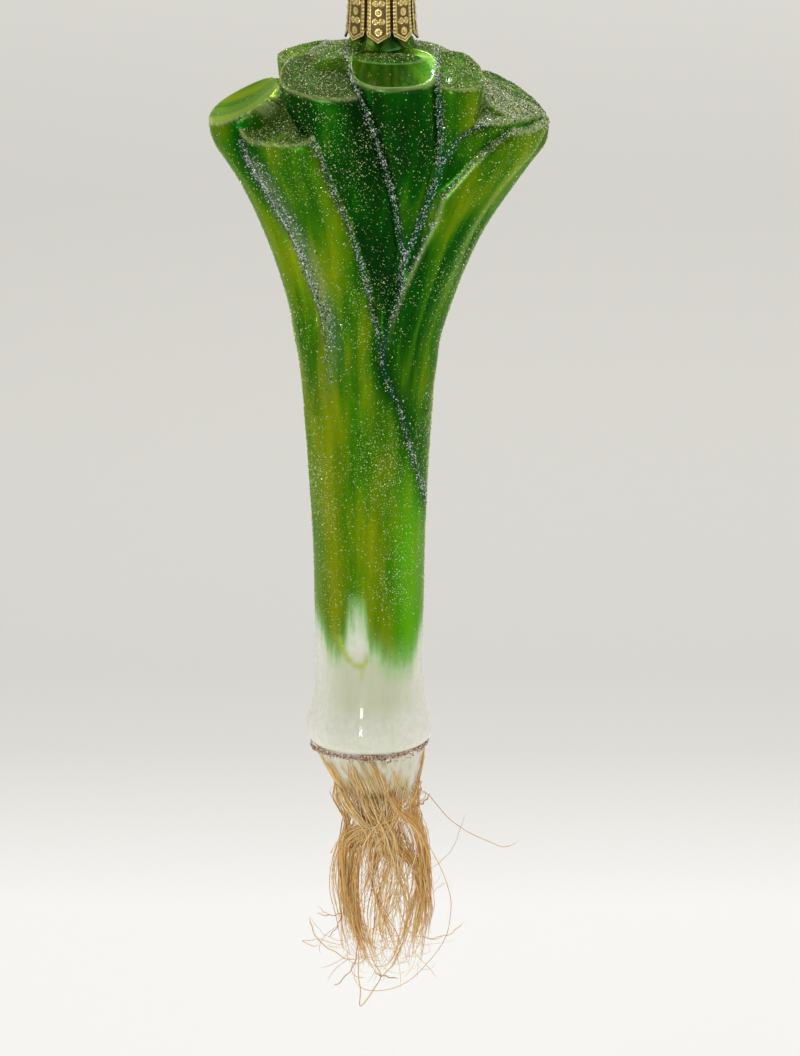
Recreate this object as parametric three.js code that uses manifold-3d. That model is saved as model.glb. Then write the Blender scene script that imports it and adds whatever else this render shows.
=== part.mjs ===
// A blown-glass hanging ornament in the shape of a leek, with dried plant fibres for roots.
// Millimetres, +Z up, the front of the ornament towards -Y. The origin is the inside top of the hanging loop.
import * as THREE from 'three';
import { mergeVertices, mergeGeometries } from 'three/addons/utils/BufferGeometryUtils.js';
import Module from 'manifold-3d';

// Driving dimensions. Heights (h) are counted up from the middle of the glitter band under the bulb.
const LOOP_TOP = 141.4;          // inside top of the hanging loop, which is the origin
const WIRE_RADIUS = 0.4;
const LOOP_RADIUS = 3.2;         // inside radius of the loop
const NECK_RADIUS = 4.9;
const NECK_BORE = 3.8;
const NECK_TOP = 131.5;
const WALL = 1.2;                // thickness of the blown glass along a ray
const CAP_RADIUS = 5.55;
const CAP_SKIN = 0.35;
const CAP_TOP = 134;
const PETALS = 8;
const PETAL_TURN = -5;           // degrees, the petal nearest the front
const PETAL_TIP = 121.2;
const BULB_AXIS = -2.2;          // x of the stalk and bulb
const KNOB_LEAN = 0.17;          // how far the knob under the bulb leans to the right, per mm of depth
const AROUND = 48;               // columns of the glass outside
const AROUND_INSIDE = 24;
const STRANDS = 31;
const LOWEST_FIBRE = -48.4;

// Smooth curve through (h, value) points.
function curve(points) {
  const p = [...points].sort((a, b) => a[0] - b[0]);
  const n = p.length;
  const d = [];
  for (let i = 0; i < n - 1; i++) d.push((p[i + 1][1] - p[i][1]) / (p[i + 1][0] - p[i][0]));
  const m = [d[0]];
  for (let i = 1; i < n - 1; i++) m.push(d[i] * d[i - 1] <= 0 ? 0 : (d[i] + d[i - 1]) / 2);
  m.push(d[n - 2]);
  return (h0) => {
    const h = Math.min(Math.max(h0, p[0][0]), p[n - 1][0]);
    let i = 0;
    while (i < n - 2 && h > p[i + 1][0]) i++;
    const w = p[i + 1][0] - p[i][0];
    const t = (h - p[i][0]) / w;
    return p[i][1] * (1 + 2 * t) * (1 - t) ** 2 + p[i + 1][1] * t * t * (3 - 2 * t)
      + m[i] * w * t * (1 - t) ** 2 - m[i + 1] * w * t * t * (1 - t);
  };
}

// The envelope of stalk and head, which is wide from side to side and shallow from front to back.
const BULB = [[-0.4, 10.1], [0, 10.45], [1.2, 10.7], [3.1, 10.6], [4.6, 10.2], [6.5, 9.65], [8.5, 9.4],
  [13, 9.2], [24, 9.3], [38, 9.55]];
const halfWidth = curve([...BULB, [52, 10.25], [60, 10.9], [66, 11.6], [71, 12.2], [76.5, 13.5],
  [83, 15.8], [90, 18.8], [97, 22.8], [104, 27.7], [108, 28.6], [125, 28.6]]);
const centre = curve([[0, BULB_AXIS], [60, -2.3], [70, -2.35], [76, -2.05], [83, -1.7], [90, -1.3],
  [97, -0.5], [104, -0.1], [125, 0]]);
const halfDepth = curve([...BULB, [52, 10.2], [60, 10.6], [70, 11.3], [80, 12.4], [90, 13.8], [100, 15.2],
  [110, 16.2], [118, 16.8], [125, 17]]);
const FULL = 2.2;                // power of the envelope's rounded oval

// Border lines of the moulded leaves as [h, x], as seen from the front.
const SHEATH_LEFT = [[58, -11.5], [64, -10], [69, -9.4], [75.8, -9.9], [82, -11.9], [88.5, -14.4],
  [93.3, -17], [99.4, -20.2], [103, -22.2], [108, -23.4], [114, -24.2]];
const SHEATH_RIGHT = [[43, 7.4], [53.5, 4.6], [60, 3], [66.5, 0.5], [71.9, -0.3], [77.6, -1.6],
  [84.7, -3.1], [92.2, -5.4], [98.2, -7.7], [107.5, -11.4], [114, -13.5]];
const SECOND_LEFT = [[66, -2], [72, -3], [78, -4.5], [85, -6], [92, -8.5], [98, -10.8], [108, -14.4],
  [113, -16.6], [120, -17.6]];
const SECOND_RIGHT = [[66, 1], [72, 0.6], [80, 2.6], [86.4, 3.6], [92.5, 2.7], [96, 2.2], [99.9, 1.2],
  [107.8, -1.2], [112.3, -2.7], [115.8, -4.2], [120, -6]];
const MIDDLE_LEFT = [[78, 2.6], [86.4, 3.6], [92.5, 2.7], [96, 2.2], [99.9, 1.2], [107.8, -1.2],
  [112.3, -2.7], [115.8, -4.2], [120, -5]];
const MIDDLE_RIGHT = [[78, 2.8], [86.4, 3.9], [91.8, 6.2], [95, 7.5], [99.9, 8.8], [105, 9.6], [120, 9.2]];
const FOURTH_LEFT = [[84, 3.9], [91.8, 6.5], [95, 7.7], [99.9, 9], [105, 9.8], [120, 9.6]];
const FOURTH_RIGHT = [[84, 7], [90, 9], [95, 11], [100, 13], [108, 16], [113, 17.2], [120, 17.6]];
const RIDGE = [[60, 0], [66, 0], [70, 0.2], [74, 1.1], [78.6, 2.4], [83.9, 4.5], [89.3, 6.9], [93.2, 8.8],
  [97.1, 10.1], [99.6, 12.1], [102.4, 14.6], [105, 17.2], [107, 20], [108.3, 23], [110, 27]];
const RIDGE_BACK = [[74, 0.9], [80, 2.4], [86, 3.6], [91.8, 5.9], [98, 8.1], [101.7, 9.6], [104.2, 10.8],
  [107.4, 13.2], [108.8, 15.6], [110.4, 19], [111.5, 24]];
const OUTER_RIGHT = [[60, 7], [70, 8.4], [76, 9.8], [83.4, 12.6], [90.5, 15.4], [97.8, 20.2], [104, 25.6],
  [108, 27.6], [112, 28]];
const SIDE_LEFT = [[60, -12.9], [66, -13.7], [70, -14.6], [76, -15.6], [83, -17.6], [90, -20.2],
  [97, -23.4], [101, -25.8], [104, -27.8], [107, -28.7], [115, -29]];
const SIDE_LEFT_IN = [[60, -4], [76, -8], [83, -9], [90, -11], [100, -14], [107, -16.4], [115, -17]];
const SIDE_RIGHT = [[60, 8.3], [66, 9.3], [70, 9.8], [76, 11.6], [83, 14.2], [90, 17.6], [97, 22.3],
  [101, 25.2], [104, 27.4], [107, 27.8], [115, 27.8]];
const SIDE_RIGHT_IN = [[60, 0], [76, 4], [83, 5], [90, 7], [100, 9],
  [107, 12], [112, 14.5], [118, 17]];

const smoothMax = (a, b, k) => {
  const t = Math.min(Math.max(0.5 + 0.5 * (a - b) / k, 0), 1);
  return b + (a - b) * t + k * t * (1 - t);
};
const smoothMin = (a, b, k) => -smoothMax(-a, -b, k);
const softPlus = (v, k) => (v > 6 * k ? v : k * Math.log1p(Math.exp(v / k)));
const unit = (v) => v.map((c) => c / Math.hypot(...v));
const ramp = (h, points) => {
  if (h <= points[0][0]) return points[0][1];
  for (let i = 1; i < points.length; i++) {
    if (h <= points[i][0]) {
      const t = (h - points[i - 1][0]) / (points[i][0] - points[i - 1][0]);
      return points[i - 1][1] + t * (points[i][1] - points[i - 1][1]);
    }
  }
  return points[points.length - 1][1];
};

// A leaf of the front (side -1) or back (side 1) rank: it follows the envelope between its two border lines,
// stands proud of it by a few tenths, and is cut off by the plane through its tip with a dished face.
function rankLeaf(left, right, proud, thick, tip, normal, dish, rim = 0.9, side = -1, grow = 0.5) {
  const xl = curve(left);
  const xr = curve(right);
  const pr = curve(proud);
  return {
    at(h) {
      const l = xl(h);
      const r = xr(h);
      const xc = (l + r) / 2;
      const w = Math.max((r - l) / 2 + grow, 0.3);
      const wide = halfWidth(h);
      const deep = halfDepth(h);
      const across = Math.min(Math.max((xc - centre(h)) / wide, -0.9), 0.9);
      const k = (1 - Math.abs(across) ** FULL) ** (1 / FULL);
      const slope = -side * deep / wide * Math.sign(across)
        * Math.abs(across) ** (FULL - 1) * k ** (1 - FULL);
      const turn = Math.atan(Math.min(Math.max(slope, -1.2), 1.2));
      const ca = Math.cos(turn);
      const sa = Math.sin(turn);
      const inset = thick - pr(h);
      const cx = xc + sa * side * inset;
      const cy = side * deep * k - ca * side * inset;
      return { cx, cy, w: w / ca, t: thick, ca, sa };
    },
    tip, normal: unit(normal), dish, rim, power: 2.6,
  };
}

// A leaf at the left or right side, as deep as the head.
function sideLeaf(left, right, depth, mid, tip, normal, dish, rim) {
  const xl = curve(left);
  const xr = curve(right);
  const t = curve(depth);
  const cy = curve(mid);
  return {
    at: (h) => ({ cx: (xl(h) + xr(h)) / 2, cy: cy(h), w: (xr(h) - xl(h)) / 2, t: t(h), ca: 1, sa: 0 }),
    tip, normal: unit(normal), dish, rim, power: 2.5,
  };
}

// The back of the head repeats the front's leaves turned half way round.
const turned = (line) => line.map(([h, x]) => [h, 2 * centre(h) - x]);
const backLeaf = (left, right, proud, thick, tip, normal, dish, rim, grow) =>
  rankLeaf(turned(right), turned(left), proud, thick, tip, normal, dish, rim, 1, grow);

const OUTER = [[58, -0.6], [66, 0.3], [72, 0.9], [90, 1.2], [110, 1.5]];
const INNER = [[66, -1.2], [80, -0.9], [92, -0.3], [104, 0.2], [116, 0.4]];
const SUNK = [[84, -1.2], [92, -0.9], [104, -0.5], [116, 0]];
const RIDGED = [[60, -1], [70, 0.2], [80, 0.9], [110, 1.5]];
const BEHIND = [[60, -2], [78, -0.9], [90, -0.5], [110, 0]];
const LEAVES = [
  sideLeaf(SIDE_LEFT, SIDE_LEFT_IN, [[60, 7], [80, 8.2], [107, 9], [114, 9]], [[60, 0], [90, 0], [104, -1],
    [120, -1]], [-22.4, -8, 111], [-0.447, -0.054, 0.893], 1.6, 0.7),
  sideLeaf(SIDE_RIGHT_IN, SIDE_RIGHT, [[60, 7], [80, 8.2], [107, 9.6], [114, 9.6]], [[60, 0], [120, 0]],
    [21, -2, 111.15], [0.505, -0.11, 0.856], 0.8, 0.8),
  rankLeaf(SHEATH_LEFT, SHEATH_RIGHT, OUTER, 4, [-17.3, -14, 106.75], [-0.2, -0.46, 0.88], 0.7, 1.1),
  rankLeaf(SECOND_LEFT, SECOND_RIGHT, INNER, 6, [-10.5, -15, 115], [0.03, -0.38, 0.92], 0.15),
  rankLeaf(MIDDLE_LEFT, MIDDLE_RIGHT, [[78, -1.2], [92, -0.4], [104, 0.4], [116, 0.8]], 6.6,
    [1.5, -16, 116.7], [0, -0.33, 0.94], 0.7, 0.7),
  rankLeaf(FOURTH_LEFT, FOURTH_RIGHT, SUNK, 6, [13.5, -14, 116], [0.1, -0.34, 0.93], 0.15),
  rankLeaf(RIDGE, OUTER_RIGHT, RIDGED, 4, [24, -9, 108.4], [0.1, -0.25, 0.96], 0.4, 0.7),
  rankLeaf(RIDGE_BACK, OUTER_RIGHT, BEHIND, 4, [22, -8, 110.2], [0.1, -0.2, 0.97], 0.4, 0.6, -1, 0.2),
  backLeaf(SHEATH_LEFT, SHEATH_RIGHT, OUTER, 4.2, [16.5, 14, 107], [0.22, 0.6, 0.76], 0.9),
  backLeaf(SECOND_LEFT, SECOND_RIGHT, INNER, 5.2, [10, 15, 113], [0.05, 0.38, 0.92], 0.5),
  backLeaf(MIDDLE_LEFT, MIDDLE_RIGHT, [[78, -1.2], [92, -0.4], [104, 0.3], [116, 0.6]], 5.2,
    [-2, 16, 115.2], [0, 0.36, 0.93], 1.2),
  backLeaf(FOURTH_LEFT, FOURTH_RIGHT, SUNK, 5.6, [-14, 10, 117], [-0.18, -0.08, 0.98], 1.3, 0.6, 1.2),
  backLeaf(RIDGE, OUTER_RIGHT, RIDGED, 4, [-25, 9, 108.6], [-0.42, -0.12, 0.9], 0.4),
  backLeaf(RIDGE_BACK, OUTER_RIGHT, BEHIND, 4, [-22, 8, 110.4], [-0.42, -0.12, 0.9], 0.4, 0.9, 0.2),
];
const coreWidth = curve([[40, 7], [58, 9.4], [70, 10.2], [80, 12], [90, 15], [100, 20], [108, 24], [125, 25]]);
const coreDepth = curve([[40, 7], [58, 9.2], [70, 9.4], [80, 9.6], [90, 10], [100, 10], [110, 9], [125, 8.8]]);

// A leaf as a signed distance: an oval slice at each height, ended by a dished face.
function leafField(leaf, x, y, h) {
  const s = leaf.at(h);
  const dx = x - s.cx;
  const dy = y - s.cy;
  const u = Math.abs((dx * s.ca + dy * s.sa) / s.w);
  const v = Math.abs((-dx * s.sa + dy * s.ca) / s.t);
  const rho = (u ** leaf.power + v ** leaf.power) ** (1 / leaf.power);
  const side = (rho - 1) * Math.min(s.w, s.t);
  const [nx, ny, nz] = leaf.normal;
  const plane = (x - leaf.tip[0]) * nx + (y - leaf.tip[1]) * ny + (h - leaf.tip[2]) * nz;
  return smoothMax(side, plane + leaf.dish * Math.max(1 - rho * rho, 0), leaf.rim);
}

// The outermost leaf wraps round the stalk: its edge runs down to the side on the front and on the back, and
// melts into the stalk at both sides.
const wrapLine = curve([...SHEATH_RIGHT, [30, 11]]);
function wrapStep(x, y, h) {
  const edge = wrapLine(h);
  const inside = y < 0 ? edge - x : x - (2 * centre(h) - edge);
  const fade = Math.min(Math.max((h - 30) / 14, 0), 1) * Math.min(Math.max((76 - h) / 8, 0), 1);
  return 0.55 * fade * Math.min(Math.abs(y) / 3, 1) / (1 + Math.exp(-inside / 0.28));
}

// The glass as a signed distance: stalk, the mass between the leaf ends, leaves and neck melted together.
function field(x, y, h) {
  const c = centre(h);
  const sink = ramp(h, [[56, 0], [70, 0.5], [90, 3], [100, 6]]);
  const a = halfWidth(h) - sink;
  const b = halfDepth(h) - sink;
  let f = (Math.hypot((x - c) / a, y / b) - 1) * b - wrapStep(x, y, h);
  f = smoothMax(f, h - 100, 1);
  const rho = ((Math.abs(x - c) / coreWidth(h)) ** 2.4 + (Math.abs(y) / coreDepth(h)) ** 2.4) ** (1 / 2.4);
  const shoulder = x < 0 ? 1.3 * softPlus(-x - 11.5, 1.6) : 0.9 * softPlus(x - 10, 2);
  const roof = h - (120.2 - 0.012 * y * y - shoulder);
  f = smoothMin(f, smoothMax((rho - 1) * coreDepth(h), roof * 0.75, 1.2), 1);
  for (const leaf of LEAVES) f = smoothMin(f, leafField(leaf, x, y, h), 0.5);
  return smoothMin(f, h > 110 ? Math.hypot(x, y) - NECK_RADIUS : 9, 1.2);
}

// Rays that sweep from the stalk (row 0) over the rim of the head to the foot of the neck (row 1).
function ray(turn, row) {
  const h = ramp(row, [[0, 58], [0.45, 92], [0.8, 102], [1, 104]]);
  const up = THREE.MathUtils.degToRad(ramp(row, [[0, 0], [0.3, 4], [0.45, 14], [0.62, 34], [0.8, 52], [1, 69.5]]));
  const aspect = ramp(row, [[0, 1], [0.5, 1.55], [0.8, 1.5], [1, 1]]);
  const dx = Math.cos(turn) * aspect;
  const dy = -Math.sin(turn);
  const n = Math.hypot(dx, dy);
  return {
    from: new THREE.Vector3(centre(h) * (1 - row ** 3), 0, h),
    way: new THREE.Vector3(dx / n * Math.cos(up), dy / n * Math.cos(up), Math.sin(up)),
  };
}
function reach(turn, row) {
  const { from, way } = ray(turn, row);
  const test = (t) => field(from.x + way.x * t, from.y + way.y * t, from.z + way.z * t);
  let far = 46;
  let t = far;
  while (t > 1 && test(t) > 0) {
    far = t;
    t -= 1;
  }
  let near = t;
  for (let i = 0; i < 12; i++) {
    const mid = (near + far) / 2;
    if (test(mid) < 0) near = mid;
    else far = mid;
  }
  return (near + far) / 2;
}
const onRay = (turn, row, t) => {
  const { from, way } = ray(turn, row);
  return from.addScaledVector(way, t);
};

// Rings of points joined into one closed surface. A ring of one point is a pole, a ring may have half the points of
// the one before it, and with loop set the last ring joins the first.
function skin(rings, loop = false) {
  const points = [];
  const index = [];
  const starts = rings.map((ring) => {
    const start = points.length;
    points.push(...ring);
    return start;
  });
  for (let k = 0; k < rings.length - (loop ? 0 : 1); k++) {
    const next = (k + 1) % rings.length;
    const [a, b] = [starts[k], starts[next]];
    const [n, m] = [rings[k].length, rings[next].length];
    for (let i = 0; i < Math.max(n, m); i++) {
      const j = (i + 1) % Math.max(n, m);
      if (n === 1) index.push(a, b + i, b + j);
      else if (m === 1) index.push(a + i, b, a + j);
      else if (n === m) index.push(a + i, b + j, a + j, a + i, b + i, b + j);
      else if (i % 2 === 0) {
        const p = b + i / 2;
        const q = b + (i / 2 + 1) % m;
        index.push(a + i, p, a + i + 1, a + i + 1, p, q, a + i + 1, q, a + (i + 2) % n);
      }
    }
  }
  const geometry = new THREE.BufferGeometry();
  const flat = points.flatMap((p) => [p.x, p.y, p.z - LOOP_TOP]);
  geometry.setAttribute('position', new THREE.Float32BufferAttribute(flat, 3));
  geometry.setIndex(index);
  return geometry;
}
const angle = (i, n) => (i / n) * Math.PI * 2;
const circle = (n, x, a, b, h) => Array.from({ length: n }, (_, i) =>
  new THREE.Vector3(x + a * Math.cos(angle(i, n)), -b * Math.sin(angle(i, n)), h));

// Glass: knob, bulb, stalk, leafy head and neck, blown hollow and open at the neck.
const KNOB = [[-12.4, 2.5], [-11.3, 4.7], [-9, 6.6], [-5.5, 8], [-2.5, 9], [-1.2, 9.3], [-0.75, 9.65]];
const KNOB_INSIDE = [[3, 9], [-1, 8], [-5.5, 6.6], [-9, 5], [-11, 3]];
const knobCentre = (h) => BULB_AXIS + KNOB_LEAN * Math.max(-1 - h, 0);
const STALK_ROWS = [-0.4, 0, 1.2, 3.1, 4.6, 6.5, 9, 13, 20, 29, 38, 44, 49, 54];
const HEAD_ROWS = 30;
function stalkRing(n, h, inset = 0) {
  return Array.from({ length: n }, (_, i) => {
    const c = centre(h);
    const x = Math.cos(angle(i, n));
    const y = -Math.sin(angle(i, n));
    const step = inset ? 0 : wrapStep(c + halfWidth(h) * x, halfDepth(h) * y, h);
    return new THREE.Vector3(c + (halfWidth(h) - inset + step) * x, (halfDepth(h) - inset + step) * y, h);
  });
}
function glassBody() {
  const rings = [[new THREE.Vector3(knobCentre(-12.8), 0, -12.8)]];
  for (const [h, r] of KNOB) rings.push(circle(AROUND, knobCentre(h), r, r, h));
  for (const h of STALK_ROWS) rings.push(stalkRing(AROUND, h));
  for (let k = 0; k <= HEAD_ROWS; k++) {
    rings.push(Array.from({ length: AROUND }, (_, i) => {
      const turn = angle(i, AROUND);
      const row = k / HEAD_ROWS;
      return onRay(turn, row, reach(turn, row));
    }));
  }
  for (const h of [122.6, 126, NECK_TOP - 0.3]) rings.push(circle(AROUND, 0, NECK_RADIUS, NECK_RADIUS, h));
  rings.push(circle(AROUND, 0, NECK_RADIUS - 0.3, NECK_RADIUS - 0.3, NECK_TOP));
  // down the inside
  rings.push(circle(AROUND_INSIDE, 0, NECK_BORE + 0.3, NECK_BORE + 0.3, NECK_TOP));
  for (const h of [NECK_TOP - 0.3, 124, 119]) rings.push(circle(AROUND_INSIDE, 0, NECK_BORE, NECK_BORE, h));
  const INSIDE_ROWS = 12;
  for (let k = INSIDE_ROWS; k >= 0; k--) {
    const row = k / INSIDE_ROWS * 0.93;
    rings.push(Array.from({ length: AROUND_INSIDE }, (_, i) => {
      const turn = angle(i, AROUND_INSIDE);
      let t = Infinity;
      for (const a of [-1, -0.5, 0, 0.5, 1]) {
        for (const b of [-1, -0.5, 0, 0.5, 1]) {
          const r = Math.min(Math.max(row + b * 0.93 / INSIDE_ROWS, 0), 1);
          t = Math.min(t, reach(turn + a * angle(1, AROUND_INSIDE), r));
        }
      }
      return onRay(turn, row, t - WALL);
    }));
  }
  for (const h of [46, 32, 14]) rings.push(stalkRing(AROUND_INSIDE, h, WALL));
  for (const [h, r] of KNOB_INSIDE) rings.push(circle(AROUND_INSIDE, knobCentre(h), r, r, h));
  rings.push([new THREE.Vector3(knobCentre(-11.4), 0, -11.4)]);
  return skin(rings);
}

// Cap: thin pressed metal with pointed petals round its foot and a slot in its top for the wire.
const CAP_COLUMNS = PETALS * 6;
function petalEdge(u) {
  const a = Math.abs(u);
  return PETAL_TIP + (a < 0.84 ? 1.3 * a : 1.09 + (a - 0.84) * 8);
}
function crownCap() {
  const steps = [-1, -0.84, -0.42, 0, 0.42, 0.84];
  const firstPetal = THREE.MathUtils.degToRad(PETAL_TURN - 90);
  const columns = [];
  for (let p = 0; p < PETALS; p++) {
    for (const u of steps) columns.push({ turn: angle(p + u / 2, PETALS) + firstPetal, u });
  }
  const at = (value, u) => (typeof value === 'function' ? value(u) : value);
  const ring = (radius, height) => columns.map(({ turn, u }) =>
    new THREE.Vector3(at(radius, u) * Math.cos(turn), at(radius, u) * Math.sin(turn), at(height, u)));
  const slot = (height) => columns.map(({ turn }) => {
    const c = Math.cos(turn);
    const s = Math.sin(turn);
    const side = 1.85 * Math.sign(c) * Math.abs(c) ** 0.6;
    return new THREE.Vector3(side, 0.85 * Math.sign(s) * Math.abs(s) ** 0.6, height);
  });
  const inside = CAP_RADIUS - CAP_SKIN;
  return skin([
    slot(CAP_TOP), slot(CAP_TOP - CAP_SKIN), ring(4.2, CAP_TOP - 0.95), ring(inside, 131.9), ring(inside, 127),
    ring(inside + 0.1, 124.6),
    ring((u) => 5.85 - 0.25 * Math.abs(u), petalEdge), ring((u) => 6.25 - 0.25 * Math.abs(u), petalEdge),
    ring(CAP_RADIUS + 0.15, 124.6), ring(CAP_RADIUS, 127), ring(CAP_RADIUS, 132), ring(4.5, CAP_TOP - 0.5),
  ].reverse(), true);
}

// A rod along a path, as a closed tube with flat ends.
function rod(points, radius, sides, steps, tension = 0.5) {
  const path = new THREE.CatmullRomCurve3(points, false, 'catmullrom', tension);
  const shape = new THREE.Shape(Array.from({ length: sides }, (_, i) =>
    new THREE.Vector2(radius * Math.cos(angle(i, sides)), radius * Math.sin(angle(i, sides)))));
  const settings = { steps, extrudePath: path, curveSegments: 1, bevelEnabled: false };
  const geometry = new THREE.ExtrudeGeometry(shape, settings);
  geometry.deleteAttribute('normal');
  geometry.deleteAttribute('uv');
  return mergeVertices(geometry, 1e-4);
}

// Wire: one length bent into the loop, its two legs going down through the slot to press on the neck's bore.
function hangerWire() {
  const mid = LOOP_TOP - LOOP_RADIUS;
  const r = LOOP_RADIUS + WIRE_RADIUS;
  const half = [[2.95, 118.5], [3, 122], [3, 126], [2.3, 129], [1.25, 131.6], [0.85, 133.3], [0.95, 134.4],
    [2.1, 135.3]];
  const arc = [];
  for (let a = -38; a <= 218; a += 16) {
    const t = THREE.MathUtils.degToRad(a);
    arc.push([r * Math.cos(t), mid + r * Math.sin(t)]);
  }
  const points = [...half, ...arc, ...half.map(([x, h]) => [-x, h]).reverse()];
  return rod(points.map(([x, h]) => new THREE.Vector3(x, 0, h - LOOP_TOP)), WIRE_RADIUS, 8, 44);
}

// Band: the ring of glitter glued under the bulb.
function glitterBand() {
  const profile = [[9.55, -1.9], [9.95, -2.05], [10.4, -1.75], [10.6, -1.2], [10.5, -0.7], [10.3, -0.55],
    [9.95, -0.9], [9.62, -1.2]];
  const outline = [...profile, profile[0]].map(([r, h]) => new THREE.Vector2(r, h));
  const geometry = new THREE.LatheGeometry(outline, 40);
  geometry.rotateX(Math.PI / 2);
  geometry.translate(BULB_AXIS, 0, -LOOP_TOP);
  geometry.deleteAttribute('normal');
  geometry.deleteAttribute('uv');
  return mergeVertices(geometry, 1e-4);
}

// Roots: strands of dried fibre glued round the knob, laid over it, crossing below it and hanging loose.
const wasm = await Module();
wasm.setup();
function solidOf(geometry) {
  return new wasm.Manifold(new wasm.Mesh({
    numProp: 3,
    vertProperties: new Float32Array(geometry.attributes.position.array),
    triVerts: new Uint32Array(geometry.index.array),
  }));
}
function geometryOf(solid) {
  const mesh = solid.getMesh();
  const geometry = new THREE.BufferGeometry();
  geometry.setAttribute('position', new THREE.BufferAttribute(new Float32Array(mesh.vertProperties), 3));
  geometry.setIndex(new THREE.BufferAttribute(new Uint32Array(mesh.triVerts), 1));
  geometry.computeVertexNormals();
  return geometry;
}
let seed = 11;
const random = () => {
  seed = (seed * 16807) % 2147483647;
  return seed / 2147483647;
};
function rootFibres() {
  const between = (a, b) => a + (b - a) * random();
  const collar = [[9.35, -2.45], [9.35, -4], [9.8, -3.8], [10, -2.75], [9.8, -2.4]]
    .map(([r, h]) => circle(28, BULB_AXIS, r, r, h));
  const core = [[2.8, -14, -0.4], [3.8, -16, -0.2], [4.3, -19, -0.2], [4.8, -24, -0.2], [4.8, -29, 0.2],
    [4, -34, 0.4], [2, -38, 0.4]].map(([r, h, x]) => circle(9, x, r * between(0.92, 1.05), r * 0.8, h));
  let bundle = solidOf(skin(collar, true));
  const [foot, top] = [new THREE.Vector3(0.4, 0, -40), new THREE.Vector3(-0.4, 0, -13.3)];
  bundle = bundle.add(solidOf(skin([[foot], ...core.reverse(), [top]])));
  for (let i = 0; i < STRANDS; i++) {
    const start = (i + 0.6 * random()) / STRANDS * Math.PI * 2;
    const twist = between(-0.9, 0.9);
    const spread = i % 9 === 4 ? 0.3 : between(0.4, 1);
    const end = i % 9 === 4 ? LOWEST_FIBRE + 2 * Math.floor(i / 9) : between(-31, -43);
    const point = (r, h, x, t) => new THREE.Vector3(
      x + r * Math.cos(start + t), (h < -12 ? -0.85 : -1) * r * Math.sin(start + t), h - LOOP_TOP);
    bundle = bundle.add(solidOf(rod([
      point(9.6, -3.1, knobCentre(-3.1), 0), point(8.9, -5.7, knobCentre(-5.7), 0.04 * twist),
      point(7.7, -9.2, knobCentre(-9.2), 0.15 * twist), point(6.3, -12, knobCentre(-12), 0.3 * twist),
      point(4 + 1.9 * spread, -16.5, 0.4, 0.7 * twist), point(3.7 + 4.2 * spread, -24, 0, 1.2 * twist),
      point(3.4 + 4.4 * spread, end * 0.5 - 14, 0.4, 1.6 * twist), point(2 + 5 * spread, end, 0.6, 2 * twist),
    ], between(0.36, 0.48), 3, 7)));
  }
  return geometryOf(bundle.simplify(0.05));
}

const finish = (color, roughness, metalness) =>
  new THREE.MeshStandardMaterial({ color, roughness, metalness });
const mesh = (name, geometry, material) => {
  const piece = new THREE.Mesh(geometry, material);
  piece.name = name;
  return piece;
};
const ornament = new THREE.Group();
ornament.add(mesh('glass_body', glassBody(), finish(0x5f8f1e, 0.25, 0.4)));
ornament.add(mesh('crown_cap', crownCap(), finish(0xc9ab74, 0.3, 1)));
ornament.add(mesh('hanger_wire', hangerWire(), finish(0xcfb27c, 0.3, 1)));
ornament.add(mesh('glitter_band', glitterBand(), finish(0x5d3a38, 0.6, 0)));
ornament.add(mesh('root_fibres', rootFibres(), finish(0xb98d52, 0.8, 0)));
for (const piece of ornament.children) piece.geometry.computeVertexNormals();

export default ornament;
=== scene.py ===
# A leek-shaped ornament of blown glass, dressed over its solids. Shapes are worked out in millimetres, with the
# height h counted up from the glitter band, and put into metres with the hanging loop at the origin.
import math
import bpy
import numpy as np
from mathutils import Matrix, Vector


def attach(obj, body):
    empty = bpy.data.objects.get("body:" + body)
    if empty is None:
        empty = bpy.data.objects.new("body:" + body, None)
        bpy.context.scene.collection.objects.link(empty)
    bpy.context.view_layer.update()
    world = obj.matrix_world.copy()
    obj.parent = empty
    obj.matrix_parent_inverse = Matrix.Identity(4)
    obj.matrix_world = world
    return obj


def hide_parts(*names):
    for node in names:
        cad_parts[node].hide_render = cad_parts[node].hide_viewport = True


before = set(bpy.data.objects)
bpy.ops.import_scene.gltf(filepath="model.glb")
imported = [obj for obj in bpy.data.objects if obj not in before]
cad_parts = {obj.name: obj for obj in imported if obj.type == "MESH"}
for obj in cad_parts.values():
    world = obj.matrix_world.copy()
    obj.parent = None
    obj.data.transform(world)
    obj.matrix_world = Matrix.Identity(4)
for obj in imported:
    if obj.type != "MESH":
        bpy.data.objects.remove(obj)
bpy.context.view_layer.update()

LOOP_TOP = 141.4
WIRE_RADIUS = 0.4
LOOP_RADIUS = 3.2
NECK_RADIUS = 4.9
NECK_BORE = 3.8
NECK_TOP = 131.5
WALL = 1.2
CAP_RADIUS = 5.55
CAP_SKIN = 0.35
CAP_TOP = 134.0
PETALS = 8
PETAL_TURN = -5.0
PETAL_TIP = 121.2
BULB_AXIS = -2.2
KNOB_LEAN = 0.17
AROUND = 320
AROUND_INSIDE = 80
HEAD_ROWS = 170


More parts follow.
